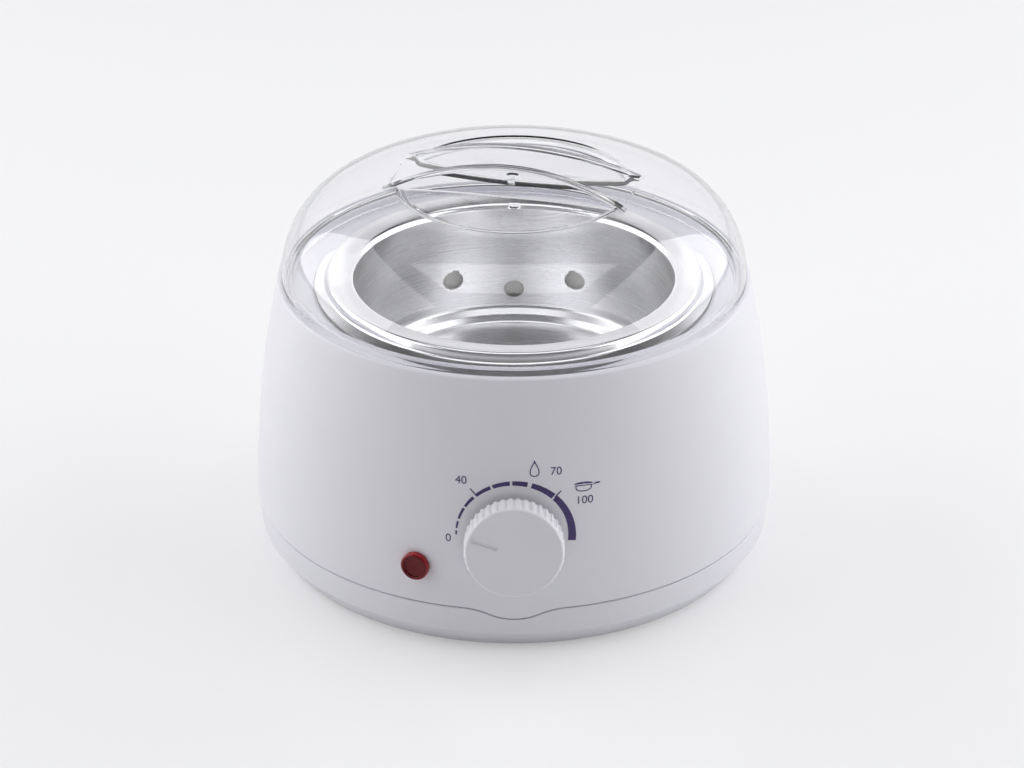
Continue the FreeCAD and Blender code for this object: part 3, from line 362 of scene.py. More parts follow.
class Link:
    """A socket that can stand in Python expressions; each operator adds a Math node."""

    def __init__(self, tree, socket):
        self.tree = tree
        self.socket = socket

    def math(self, operation, *others):
        """Result of a Math node on this socket and the others."""
        return self.tree.add("ShaderNodeMath", dict(enumerate((self, *others))), operation=operation)

    def __add__(self, other):
        return self.math("ADD", other)

    def __sub__(self, other):
        return self.math("SUBTRACT", other)

    def __rsub__(self, other):
        return self.tree.add("ShaderNodeMath", {0: other, 1: self}, operation="SUBTRACT")

    def __mul__(self, other):
        return self.math("MULTIPLY", other)

    def __truediv__(self, other):
        return self.math("DIVIDE", other)

    def __pow__(self, other):
        return self.math("POWER", other)

    def __lt__(self, other):
        return self.math("LESS_THAN", other)


class NodeTree:
    """Nodes of one finish or of the world."""

    def __init__(self, tree):
        self.tree = tree
        self.tree.nodes.clear()

    def add(self, kind, values=None, out=0, **settings):
        """Adds a node, sets it up, fills its sockets with values or links, and gives an output back."""
        node = self.tree.nodes.new(kind)
        for key, value in settings.items():
            setattr(node, key, value)
        for key, value in (values or {}).items():
            if isinstance(value, Link):
                self.tree.links.new(value.socket, node.inputs[key])
            else:
                node.inputs[key].default_value = value
        return Link(self, node.outputs[out]) if node.outputs else None

    def coords(self):
        """Object coordinates in metres."""
        return self.add("ShaderNodeTexCoord", out="Object")

    def ray(self, kind):
        """Is 1 for rays of one kind."""
        return self.add("ShaderNodeLightPath", out=f"Is {kind} Ray")

    def noise(self, vector, scale, detail=3.0, roughness=0.55):
        """Noise from 0 to 1 about a half."""
        return self.add("ShaderNodeTexNoise",
                        {"Vector": vector, "Scale": scale, "Detail": detail, "Roughness": roughness})

    def blend(self, factor, first, colour):
        """A colour or a link to one that turns to a plain colour by a factor."""
        return self.add("ShaderNodeMix", {0: factor, 6: first, 7: (*colour, 1)}, out=2, data_type="RGBA")

    def shades(self, factor, dark, light):
        """A colour between two plain ones, by a factor."""
        return self.blend(factor, (*dark, 1), light)

    def shifted(self, vector, origin):
        """Coordinates about a point given in millimetres."""
        return self.add("ShaderNodeVectorMath", {0: vector, 1: tuple(c * MM for c in origin)},
                        operation="SUBTRACT")

    def along(self, vector, axis):
        """How far a vector goes along an axis."""
        return self.add("ShaderNodeVectorMath", {0: vector, 1: tuple(axis)}, out="Value",
                        operation="DOT_PRODUCT")

    def smooth(self, value, low, high):
        """Rises softly from 0 at the low value to 1 at the high one."""
        return self.add("ShaderNodeMapRange", {"Value": value, "From Min": low, "From Max": high},
                        interpolation_type="SMOOTHSTEP")

    def bump(self, height, strength, distance):
        """A normal that follows a height in steps of distance."""
        return self.add("ShaderNodeBump", {"Height": height, "Strength": strength, "Distance": distance})

    def split(self, vector):
        """The three parts of a vector."""
        node = self.add("ShaderNodeSeparateXYZ", {0: vector}).socket.node
        return [Link(self, socket) for socket in node.outputs]

    def join(self, x, y, z):
        """A vector from three parts."""
        return self.add("ShaderNodeCombineXYZ", {0: x, 1: y, 2: z})

    def principled(self, **values):
        """A Principled shader, with spaces for the underscores in the names."""
        named = {key.replace("_", " "): value for key, value in values.items()}
        return self.add("ShaderNodeBsdfPrincipled", named)

    def mix_shaders(self, factor, first, second):
        """The first shader where the factor is 0 and the second where it is 1."""
        return self.add("ShaderNodeMixShader", {0: factor, 1: first, 2: second})


class Finish(NodeTree):
    """Nodes of a new material."""

    def __init__(self, name):
        self.material = bpy.data.materials.new(name)
        self.material.use_nodes = True
        super().__init__(self.material.node_tree)

    def show(self, shader):
        """The material, with a shader on its surface."""
        self.add("ShaderNodeOutputMaterial", {"Surface": shader})
        return self.material

    def surface(self, **values):
        """The material, with a Principled shader on its surface."""
        return self.show(self.principled(**values))


def darker(colour, by):
    """A colour with less light."""
    return tuple(c * by for c in colour)


def lighter(colour, by):
    """A colour with more light, up to white."""
    return tuple(min(1, c * by) for c in colour)


def moulded_plastic(name, colour, roughness, grain):
    """Moulded plastic: a faint cloudiness in its colour and gloss over a very fine grain."""
    nodes = Finish(name)
    at = nodes.coords()
    cloud = nodes.noise(at, scale=38, detail=4)
    fine = nodes.noise(at, scale=2600, detail=2)
    return nodes.surface(
        Base_Color=nodes.shades(cloud, darker(colour, 0.975), colour),
        Roughness=cloud * 0.08 + (roughness - 0.04),
        IOR=1.5,
        Normal=nodes.bump(fine, strength=grain, distance=0.02 * MM))


def spun_metal(name, colour):
    """Spun metal with fine rings about the heater's axis, satin inside and polished at the brim."""
    nodes = Finish(name)
    at = nodes.coords()
    x, y, z = nodes.split(at)
    reach = (x * x + y * y) ** 0.5
    rings = nodes.noise(nodes.join(reach, z, 0), scale=3200, detail=2, roughness=0.7)
    broad = nodes.noise(nodes.join(reach, z, 0), scale=260, detail=2)
    cloud = nodes.noise(at, scale=60, detail=4)
    satin = 1 - nodes.smooth(z, *(level * MM for level in SATIN_TOP))
    return nodes.surface(
        Base_Color=nodes.shades(cloud, darker(colour, 0.93), colour),
        Metallic=1.0,
        Roughness=rings * 0.06 + broad * 0.04 + cloud * 0.03 + satin * 0.13 + 0.08,
        Normal=nodes.bump(rings, strength=0.25, distance=0.02 * MM))


def clear_plastic(name, colour):
    """Clear moulded plastic that lets the lamps through."""
    nodes = Finish(name)
    haze = nodes.noise(nodes.coords(), scale=55, detail=4)
    clear = nodes.principled(
        Base_Color=(*colour, 1),
        Transmission_Weight=1.0,
        IOR=1.49,
        Roughness=haze * 0.02)
    through = nodes.add("ShaderNodeBsdfTransparent", {"Color": (*colour, 1)})
    return nodes.show(nodes.mix_shaders(nodes.ray("Shadow"), clear, through))


def lens_plastic(name, colour):
    """Dark red lens: a fine lattice over the dark behind its face, and a painted glow of light caught round its
    edge, where the red is drawn lighter.
    """
    nodes = Finish(name)
    at = nodes.shifted(nodes.coords(), LAMP.translation)
    right, up = (nodes.along(at, LAMP.col[k].xyz) for k in (0, 1))
    away = (right * right + up * up) ** 0.5 / (LENS_R * MM)
    turns = math.tau / (LENS_LATTICE * MM)
    lattice = ((right + up) * turns).math("SINE") * ((right - up) * turns).math("SINE")
    grain = nodes.noise(at, scale=900, detail=3)
    face = away < LENS_RIM_INNER_R / LENS_R
    # Painted glow: the red turns lighter towards the lens's outer edge, standing in for light caught there
    edge = nodes.smooth(away, LENS_PAINTED_GLOW_FROM, 1.0)
    inner = nodes.shades(lattice * face * 0.35 + grain * 0.5, darker(colour, 0.45), colour)
    return nodes.surface(
        Base_Color=nodes.blend(edge, inner, darker(colour, 1.5)),
        Roughness=grain * 0.10 + 0.12,
        Specular_IOR_Level=0.25,
        Normal=nodes.bump(lattice * face, strength=0.5, distance=0.08 * MM))


def ink(name, colour):
    """Printed ink with slightly uneven cover."""
    nodes = Finish(name)
    cover = nodes.noise(nodes.coords(), scale=700, detail=3)
    return nodes.surface(
        Base_Color=nodes.shades(cover, darker(colour, 0.8), lighter(colour, 1.25)),
        Roughness=cover * 0.15 + 0.35)


def rubber(name, colour):
    """Dull moulded rubber with a dusty bloom."""
    nodes = Finish(name)
    at = nodes.coords()
    bloom = nodes.noise(at, scale=160, detail=5)
    pores = nodes.noise(at, scale=2200, detail=2)
    return nodes.surface(
        Base_Color=nodes.shades(bloom, darker(colour, 0.75), lighter(colour, 1.3)),
        Roughness=bloom * 0.2 + 0.6,
        Normal=nodes.bump(pores, strength=0.4, distance=0.04 * MM))


def brushed_metal(name, colour, roughness):
    """Plated or drawn metal: short brush marks and a little tarnish."""
    nodes = Finish(name)
    at = nodes.coords()
    drawn = nodes.add("ShaderNodeMapping", {"Vector": at, "Scale": (1, 18, 18)})
    marks = nodes.noise(drawn, scale=220, detail=3)
    tarnish = nodes.noise(at, scale=70, detail=5)
    return nodes.surface(
        Base_Color=nodes.shades(tarnish, darker(colour, 0.72), colour),
        Metallic=1.0,
        Roughness=marks * 0.2 + (roughness - 0.08),
        Normal=nodes.bump(marks, strength=0.2, distance=0.03 * MM))


def woven_fibre(name, colour):
    """Glass fibre cloth: crossing threads round the axis and along it."""
    nodes = Finish(name)
    at = nodes.coords()
    x, y, z = nodes.split(at)
    round_it = y.math("ARCTAN2", x) * (CLOTH_R * MM)
    threads = (round_it * CLOTH_WAVES).math("SINE") * (z * CLOTH_WAVES).math("SINE")
    fuzz = nodes.noise(at, scale=900, detail=4)
    return nodes.surface(
        Base_Color=nodes.shades(threads * 0.2 + fuzz * 0.6, darker(colour, 0.8), colour),
        Roughness=fuzz * 0.1 + 0.8,
        Normal=nodes.bump(threads + fuzz, strength=0.5, distance=0.1 * MM))


def bulb_glass(name, colour):
    """Thin clear glass of the lamp's bulb."""
    nodes = Finish(name)
    streak = nodes.noise(nodes.coords(), scale=300, detail=2)
    return nodes.surface(
        Base_Color=nodes.shades(streak, darker(colour, 0.9), colour),
        Roughness=streak * 0.05,
        Transmission_Weight=1.0)


def millimetres(name, description, size):
    """A setting that is a length, given in millimetres."""
    return FloatProperty(name=name, description=description, default=size * MM, unit="LENGTH", precision=5)


def tint(name, description, colour):
    """A setting that is a colour."""
    return FloatVectorProperty(name=name, description=description, default=colour, subtype="COLOR",
                               min=0, max=1)


class HeaterSizes(bpy.types.PropertyGroup):
    """Sizes of the pieces that can change without moving their neighbours."""
    turn_steps: IntProperty(
        name="Turning Steps", description="Steps round each turned piece", default=288, min=48)
    seam_edge: millimetres("Seam Edge", "Rounding of the edges along the seam", 0.35)
    lid_wall: millimetres("Lid Wall", "Thickness of the lid", 1.0)
    grip_wall: millimetres("Grip Wall", "Thickness of the lid's grip bar", 0.9)
    lid_edge: millimetres("Lid Edge", "Rounding of the edge round the lid's dish", 2.2)
    well_sheet: millimetres("Well Sheet", "Thickness of the well's metal", 1.0)
    flute_count: IntProperty(
        name="Flutes", description="Flutes round the dial's knob", default=40, min=6)
    pointer_angle: FloatProperty(
        name="Pointer", description="Angle of the knob's pointer at rest, from the right",
        default=math.radians(161), unit="ROTATION")
    scale_radius: millimetres("Scale Radius", "Middle radius of the printed scale", 18.13)
    scale_thin: millimetres("Scale Start", "Width of the scale at its low end", 0.5)
    scale_thick: millimetres("Scale End", "Width of the scale at its high end", 2.5)
    numeral_height: millimetres("Numerals", "Height of the printed numbers", 2.7)


class HeaterColours(bpy.types.PropertyGroup):
    """Colours of the outside pieces."""
    shell: tint("Shells", "White of the body and the base", (0.78, 0.775, 0.82))
    knob: tint("Knob", "White of the dial's knob", (0.78, 0.775, 0.81))
    lens: tint("Lens", "Red of the lamp's lens", (0.22, 0.012, 0.016))
    print: tint("Print", "Ink of the printed scale", (0.05, 0.028, 0.13))
    metal: tint("Well", "Metal of the well", (0.90, 0.90, 0.91))
    lid: tint("Lid", "Tint of the clear lid", (0.98, 0.98, 0.99))
    gland: tint("Gland", "Nylon of the cord gland", (0.74, 0.74, 0.76))
    feet: tint("Feet", "Rubber of the feet", (0.045, 0.045, 0.048))


class StageLook(bpy.types.PropertyGroup):
    """Floor, lamps and camera."""
    floor: tint("Floor", "Colour of the floor", (0.90, 0.90, 0.91))
    floor_roughness: FloatProperty(
        name="Floor Roughness", description="Roughness of the floor's gloss", default=0.25, min=0, max=1)
    floor_glow: FloatProperty(
        name="Floor Glow", description="Share of the floor that is seen as backdrop",
        default=0.36, min=0, max=1)
    backdrop: tint("Backdrop", "White behind the heater", (0.99, 0.99, 1.0))
    light: tint("Light", "Tint of the soft light", (0.985, 0.985, 1.0))
    wall: FloatProperty(
        name="Wall", description="Brightness of the pale wall all round", default=0.9, min=0)
    room: FloatProperty(
        name="Room", description="Brightness of the room above the wall", default=0.12, min=0)
    lens: FloatProperty(
        name="Camera Lens", description="Focal length of the camera", default=104.7, unit="CAMERA")


class HEATER_OT_housing(bpy.types.Operator):
    """Turns the white upper shell, with the seam's dip at the front"""
    bl_idname = "heater.housing"
    bl_label = "Housing"

    def execute(self, context):
        sizes = context.scene.heater_sizes
        wall = HOUSING_WALL
        section = Section(wall_radius(SEAM_Z, wall), SEAM_Z).line(SEAM_R, SEAM_Z, sizes.seam_edge / MM)
        section.swing(WALL_CENTRE, wall_angle(RIM_Z) - wall_angle(SEAM_Z), WALL_STEPS).round(RIM_FILLET)
        section.line(RIM_INNER_R, RIM_Z, RIM_INNER_EDGE).line(RIM_INNER_R, LEDGE_Z, LEDGE_EDGE)
        section.line(REBATE_R, LEDGE_Z, REBATE_EDGE).line(REBATE_R, REBATE_Z)
        section.line(OPENING_R, REBATE_Z).line(OPENING_R, LEDGE_BOTTOM_Z)
        section.line(wall_radius(LEDGE_BOTTOM_Z, wall), LEDGE_BOTTOM_Z)
        inner_sweep = wall_angle(SEAM_Z, wall) - wall_angle(LEDGE_BOTTOM_Z, wall)
        section.swing(WALL_CENTRE, inner_sweep, INNER_WALL_STEPS)
        bm = section.close().turn(sizes.turn_steps)
        for vert in bm.verts:
            if vert.co.y < 0 and vert.co.z < DIP_FADE_Z:
                fade = (DIP_FADE_Z - vert.co.z) / (DIP_FADE_Z - SEAM_Z)
                lower_on_wall(vert, seam_drop(vert.co.x) * fade)
        seat = add_rod(bmesh.new(), GLAND_SEAT_R, GLAND_FACE_Y, GLAND_END_Y, REAR)
        bm = combine(bm, seat, "DIFFERENCE")
        colour = context.scene.heater_colours.shell
        finish = moulded_plastic("white_shell_plastic", colour, roughness=0.30, grain=0.10)
        place(bm, "housing_shell", "heater", finish, ["upper_housing"])
        return {"FINISHED"}


class HEATER_OT_base(bpy.types.Operator):
    """Turns the white bottom shell and cuts its vents, screw wells and foot seats"""
    bl_idname = "heater.base"
    bl_label = "Base"

    def shell(self, sizes):
        """The turned shell, whose top edge follows the seam's dip."""
        top = SEAM_Z - SEAM_GAP
        section = Section(LIP_R, LIP_TOP_Z).line(LIP_R, top).line(wall_radius(top), top, sizes.seam_edge / MM)
        for step in range(1, BAND_STEPS):
            z = top + (BAND_Z - top) * step / BAND_STEPS
            section.line(wall_radius(z), z)
        section.line(BAND_R, BAND_Z, BAND_EDGE)
        for share in CHAMFER_STEPS:
            section.line(BAND_R + (BASE_R - BAND_R) * share, BAND_Z + (BASE_Z - BAND_Z) * share)
        section.line(BASE_R, BASE_Z, BASE_EDGE).line(0, BASE_Z).line(0, BASE_FLOOR_Z)
        section.line(BASE_FLOOR_R, BASE_FLOOR_Z).line(BAND_R - BASE_WALL, BAND_Z + BASE_WALL / 2)
        section.line(LIP_R - LIP_WALL, LIP_ROOT_Z + LIP_WALL).line(LIP_R - LIP_WALL, LIP_TOP_Z).close()
        bm = section.turn(sizes.turn_steps)
        foot = BAND_Z + BAND_DIP_FOOT
        for vert in bm.verts:
            reach = vert.co.xy.length
            if vert.co.y < 0 and foot < vert.co.z < top + HAIR and reach > LIP_R - HAIR:
                share = (vert.co.z - foot) / (top - foot)
                lower_on_wall(vert, seam_drop(vert.co.x) * share, along=reach > LIP_R + HAIR)
        return bm

    def fittings(self):
        """Posts to add for the screws, and what is cut out for screws, feet and air."""
        posts, cuts = bmesh.new(), bmesh.new()
        for degrees in BOSSES:
            at = on_ring(degrees, BOSS_RING_R)
            add_rod(posts, POST_R, BASE_Z + POST_ROOT, POST_TOP_Z, at)
            add_rod(cuts, COUNTERBORE_R, CUT_START_Z, COUNTERBORE_TOP_Z, at)
        for degrees in FEET.values():
            at = on_ring(degrees, FOOT_RING_R)
            add_rod(cuts, FOOT_R + FOOT_CLEAR, CUT_START_Z, FOOT_SEAT_Z, at, segments=64)
        for row in range(VENT_ROWS):
            x = (row - (VENT_ROWS - 1) / 2) * VENT_PITCH
            add_block(cuts, (VENT_WIDTH, VENT_LENGTH, VENT_CUT), Matrix.Translation((x, 0, VENT_CUT_Z)))
        return posts, cuts

    def execute(self, context):
        posts, cuts = self.fittings()
        bm = combine(self.shell(context.scene.heater_sizes), posts, "UNION")
        bm = combine(bm, cuts, "DIFFERENCE")
        finish = bpy.data.materials["white_shell_plastic"]
        place(bm, "base_shell", "heater", finish, ["base_pan"])
        return {"FINISHED"}


class HEATER_OT_well(bpy.types.Operator):
    """Turns the spun metal well and drills the three holes in its far wall"""
    bl_idname = "heater.well"
    bl_label = "Well"

    def execute(self, context):
        sizes = context.scene.heater_sizes
        section = Section(*WELL_PATH[0][:2])
        for corner in WELL_PATH[1:]:
            section.line(*corner)
        bm = section.turn(sizes.turn_steps, segments=7)
        floor = min(bm.faces, key=lambda face: face.calc_center_median().z)
        if floor.normal.z < 0:
            bmesh.ops.reverse_faces(bm, faces=bm.faces)
        bmesh.ops.solidify(bm, geom=bm.faces[:], thickness=sizes.well_sheet / MM)
        holes = bmesh.new()
        for x, z in WELL_HOLES:
            at = Matrix.Translation((x, 0, z)) @ Matrix.Rotation(-math.pi / 2, 4, "X")
            add_rod(holes, WELL_HOLE_R, *WELL_HOLE_SPAN, at, segments=56)
        bm = combine(bm, holes, "DIFFERENCE")
        finish = spun_metal("spun_well_metal", context.scene.heater_colours.metal)
        place(bm, "spun_well", "heater", finish, ["heating_well"])
        return {"FINISHED"}


class HEATER_OT_lid(bpy.types.Operator):
    """Moulds the clear lid: a dome with a dished top, an arched grip bar and two vents"""
    bl_idname = "heater.lid"
    bl_label = "Lid"

    def dome(self, context, inset):
        """Solid dome with its dish, drawn in by inset, down to the skirt's foot."""
        sizes = context.scene.heater_sizes
        inner = inset > 0
        if inner:
            foot_r = SKIRT_R - SKIRT_WALL
            section = Section(0, SKIRT_BOTTOM_Z - 1).line(foot_r, SKIRT_BOTTOM_Z - 1)
            section.line(foot_r, RIM_Z + SKIRT_WALL, SKIRT_ROOT_EDGE).line(LID_R - inset, RIM_Z + SKIRT_WALL)
        else:
            section = Section(0, SKIRT_BOTTOM_Z).line(SKIRT_R, SKIRT_BOTTOM_Z, SKIRT_FOOT_EDGE)
            section.line(SKIRT_R, RIM_Z, SKIRT_ROOT_EDGE).line(LID_R, RIM_Z, LID_FOOT_EDGE)
        centre, angle = Vector((LID_R - LID_ARCS[0][0], RIM_Z)), 0.0
        for k, (radius, sweep) in enumerate(LID_ARCS):
            if k:
                centre += Vector((math.cos(angle), math.sin(angle))) * (LID_ARCS[k - 1][0] - radius)
            start = 0.0
            if inner and not k:
                start = math.asin(SKIRT_WALL / (radius - inset))
                section.tip.co.x = centre.x + (radius - inset) * math.cos(start)
            section.swing(centre, sweep - math.degrees(start), LID_ARC_STEPS)
            angle += math.radians(sweep)
        edge = sizes.lid_edge / MM
        section.round(edge).line(DISH_EDGE_R, DISH_EDGE_Z - inset, edge)
        section.line(0, DISH_CENTRE_Z - inset)
        return section.turn(sizes.turn_steps, segments=4)

    def grip(self, inset, fillet, fold, fold_z):
        """Arched bar across the dish, waisted in the middle, that runs out into the dish's floor."""
        half, end_half = GRIP_HALF_WIDTH - inset, GRIP_END_HALF_WIDTH - inset
        length = GRIP_HALF_LENGTH - inset
        spread = end_half - half
        waist_r = (length ** 2 + spread ** 2) / (2 * spread)
        bm = bmesh.new()
        start = bm.verts.new((-length, -end_half - fold, GRIP_FOOT_Z))
        bmesh.ops.spin(bm, geom=[start], cent=(0, -half - fold - waist_r, GRIP_FOOT_Z), axis=(0, 0, -1),
                       angle=2 * math.asin(length / waist_r), steps=GRIP_STEPS)
        far = bmesh.ops.duplicate(bm, geom=bm.verts[:] + bm.edges[:])["geom"]
        bmesh.ops.scale(bm, vec=(1, -1, 1), verts=picked(far, BMVert))
        bmesh.ops.bridge_loops(bm, edges=bm.edges[:])
        slope = (DISH_EDGE_Z - DISH_CENTRE_Z) / DISH_EDGE_R
        turns = [math.pi / 2 * step / FOLD_STEPS for step in range(FOLD_STEPS + 1)]
        levels = [(fold * (1 - math.sin(t)), fold * (1 - math.cos(t)), fillet + FOLD_GAP * (2 - t))
                  for t in turns]
        levels += [(-fillet * (1 - math.cos(t)), GRIP_RISE, fillet * (1 - math.sin(t)))
                   for t in (turns if fillet else turns[-1:])]
        top = foot = bm.faces[:]
        out = fold
        for reach, lift, drop in levels:
            grown = bmesh.ops.extrude_face_region(bm, geom=top)["geom"]
            if top is not foot:
                bmesh.ops.delete(bm, geom=top, context="FACES")
            top = picked(grown, BMFace)
            for vert in picked(grown, BMVert):
                vert.co.y += math.copysign(reach - out, vert.co.y)
                crest = GRIP_CREST_Z - GRIP_ARCH_R + math.sqrt((GRIP_ARCH_R - inset) ** 2 - vert.co.x ** 2)
                vert.co.z = min(fold_z + lift + slope * vert.co.xy.length, crest - drop)
            out = reach
        merge(bm)
        bmesh.ops.rotate(bm, cent=(0, 0, 0), matrix=Matrix.Rotation(math.radians(GRIP_TURN_DEG), 3, "Z"),
                         verts=bm.verts)
        return bm

    def execute(self, context):
        sizes = context.scene.heater_sizes
        lid_wall, grip_wall = sizes.lid_wall / MM, sizes.grip_wall / MM
        hollow = self.grip(grip_wall, 0.0, INNER_FOLD, DISH_CENTRE_Z - lid_wall)
        hollow = combine(self.dome(context, lid_wall), hollow, "UNION")
        for y in (-LID_VENT_Y, LID_VENT_Y):
            vent = add_rod(bmesh.new(), LID_VENT_R, GRIP_FOOT_Z, GRIP_CREST_Z, Matrix.Translation((0, y, 0)))
            hollow = combine(hollow, vent, "UNION")
        bm = combine(self.dome(context, 0), self.grip(0, GRIP_FILLET, GRIP_FOLD, DISH_CENTRE_Z), "UNION")
        bm = combine(bm, hollow, "DIFFERENCE")
        finish = clear_plastic("clear_lid_plastic", context.scene.heater_colours.lid)
        place(bm, "clear_lid", "lid", finish, ["lid"])
        return {"FINISHED"}


class HEATER_OT_knob(bpy.types.Operator):
    """Moulds the dial's fluted knob with its pointer line"""
    bl_idname = "heater.knob"
    bl_label = "Dial Knob"

    def fluted_loop(self, count):
        """A new mesh that holds the knob's fluted outline, at its back."""
        bm = bmesh.new()
        half = math.acos((FLUTE_RING_R ** 2 + KNOB_R ** 2 - FLUTE_R ** 2) / (2 * FLUTE_RING_R * KNOB_R))
        tip = bm.verts.new((KNOB_R * math.cos(half), -KNOB_R * math.sin(half), KNOB_BACK))
        rise = math.atan2(KNOB_R * math.sin(half), FLUTE_RING_R - KNOB_R * math.cos(half))
        for centre, axis, angle, steps in (((FLUTE_RING_R, 0, 0), -UP, 2 * rise, 6),
                                           ((0, 0, 0), UP, math.tau / count - 2 * half, 3)):
            grown = bmesh.ops.spin(bm, geom=[tip], cent=centre, axis=axis, angle=angle, steps=steps)
            tip = picked(grown["geom_last"], BMVert)[0]
        bmesh.ops.spin(bm, geom=bm.verts[:] + bm.edges[:], cent=(0, 0, 0), axis=UP, angle=math.tau,
                       steps=count, use_duplicate=True)
        bmesh.ops.remove_doubles(bm, verts=bm.verts, dist=1e-3)
        return bm

    def grow_shell(self, bm):
        """Grows the outline into the knob's skirt and face, its hollow back and its hub."""
        loop = bm.edges[:]
        outline = {round(math.atan2(v.co.y, v.co.x), 4): v.co.xy.length for v in bm.verts}

        def grow(edges, z, most):
            """Extrudes a loop to height z, inside the knob's outline and the radius given."""
            grown = bmesh.ops.extrude_edge_only(bm, edges=edges)["geom"]
            for vert in picked(grown, BMVert):
                around = math.atan2(vert.co.y, vert.co.x)
                reach = min(most, outline[round(around, 4)])
                vert.co = (reach * math.cos(around), reach * math.sin(around), z)
            return picked(grown, BMEdge)

        shoulder_z = KNOB_FRONT - KNOB_SHOULDER
        slope = math.atan2(KNOB_R - KNOB_FACE_R, KNOB_SHOULDER)
        front = grow(grow(loop, KNOB_BACK + KNOB_BACK_RIM, KNOB_R), shoulder_z - SHOULDER_HALF, KNOB_R)
        front = grow(front, shoulder_z + SHOULDER_HALF, KNOB_R - SHOULDER_IN)
        centre_r = KNOB_FACE_R - KNOB_FILLET * math.tan((math.pi / 2 - slope) / 2)
        for step in range(KNOB_FILLET_STEPS + 1):
            turn = slope + (math.pi / 2 - slope) * step / KNOB_FILLET_STEPS
            front = grow(front, KNOB_FRONT - KNOB_FILLET * (1 - math.sin(turn)),
                         centre_r + KNOB_FILLET * math.cos(turn))
        for inset in KNOB_FACE_RINGS:
            front = grow(front, KNOB_FRONT, KNOB_FACE_R - inset)
        bmesh.ops.contextual_create(bm, geom=front)
        cup_z, cup_r = KNOB_FRONT - KNOB_SKIN, KNOB_R - KNOB_SKIN
        back = grow(loop, KNOB_BACK, cup_r)
        for z, reach in ((cup_z, cup_r), (cup_z, HUB_R), (KNOB_BACK, HUB_R), (KNOB_BACK, HUB_BORE_R),
                         (cup_z, HUB_BORE_R)):
            back = grow(back, z, reach)
        bmesh.ops.contextual_create(bm, geom=back)
        merge(bm)

    def execute(self, context):
        sizes = context.scene.heater_sizes
        bm = self.fluted_loop(sizes.flute_count)
        self.grow_shell(bm)
        turned = Matrix.Rotation(sizes.pointer_angle, 4, "Z")
        middle = Matrix.Translation((sum(POINTER_SPAN) / 2, 0, KNOB_FRONT))
        groove = (POINTER_SPAN[1] - POINTER_SPAN[0], POINTER_WIDTH, 2 * POINTER_DEPTH)
        bm = combine(bm, add_block(bmesh.new(), groove, turned @ middle), "DIFFERENCE")
        colour = context.scene.heater_colours.knob
        finish = moulded_plastic("knob_satin", colour, roughness=0.42, grain=0.14)
        place(bm, "dial_knob_fluted", "dial", finish, ["dial_knob"], at=DIAL, crease=38)
        return {"FINISHED"}


class HEATER_OT_lamp(bpy.types.Operator):
    """Turns the lamp's red lens with its raised rim"""
    bl_idname = "heater.lamp"
    bl_label = "Lamp Lens"

    def execute(self, context):
        section = Section(0, LENS_BORE_TOP).line(LENS_BORE_R, LENS_BORE_TOP).line(LENS_BORE_R, -LENS_LENGTH)
        section.line(LENS_BODY_R, -LENS_LENGTH).line(LENS_BODY_R, LENS_SEAT).line(LENS_R, LENS_SEAT, 0.1)
        section.line(LENS_R, LENS_SHOULDER, 0.3).line(LENS_RIM_R, LENS_HEIGHT, 0.25)
        section.line(LENS_RIM_INNER_R, LENS_HEIGHT, 0.15).line(LENS_RIM_INNER_R, LENS_FACE, 0.15)
        section.line(0, LENS_FACE)
        finish = lens_plastic("red_lens_plastic", context.scene.heater_colours.lens)
        place(section.turn(steps=96), "lamp_lens_rimmed", "heater", finish, ["lamp_lens"], at=LAMP)
        return {"FINISHED"}


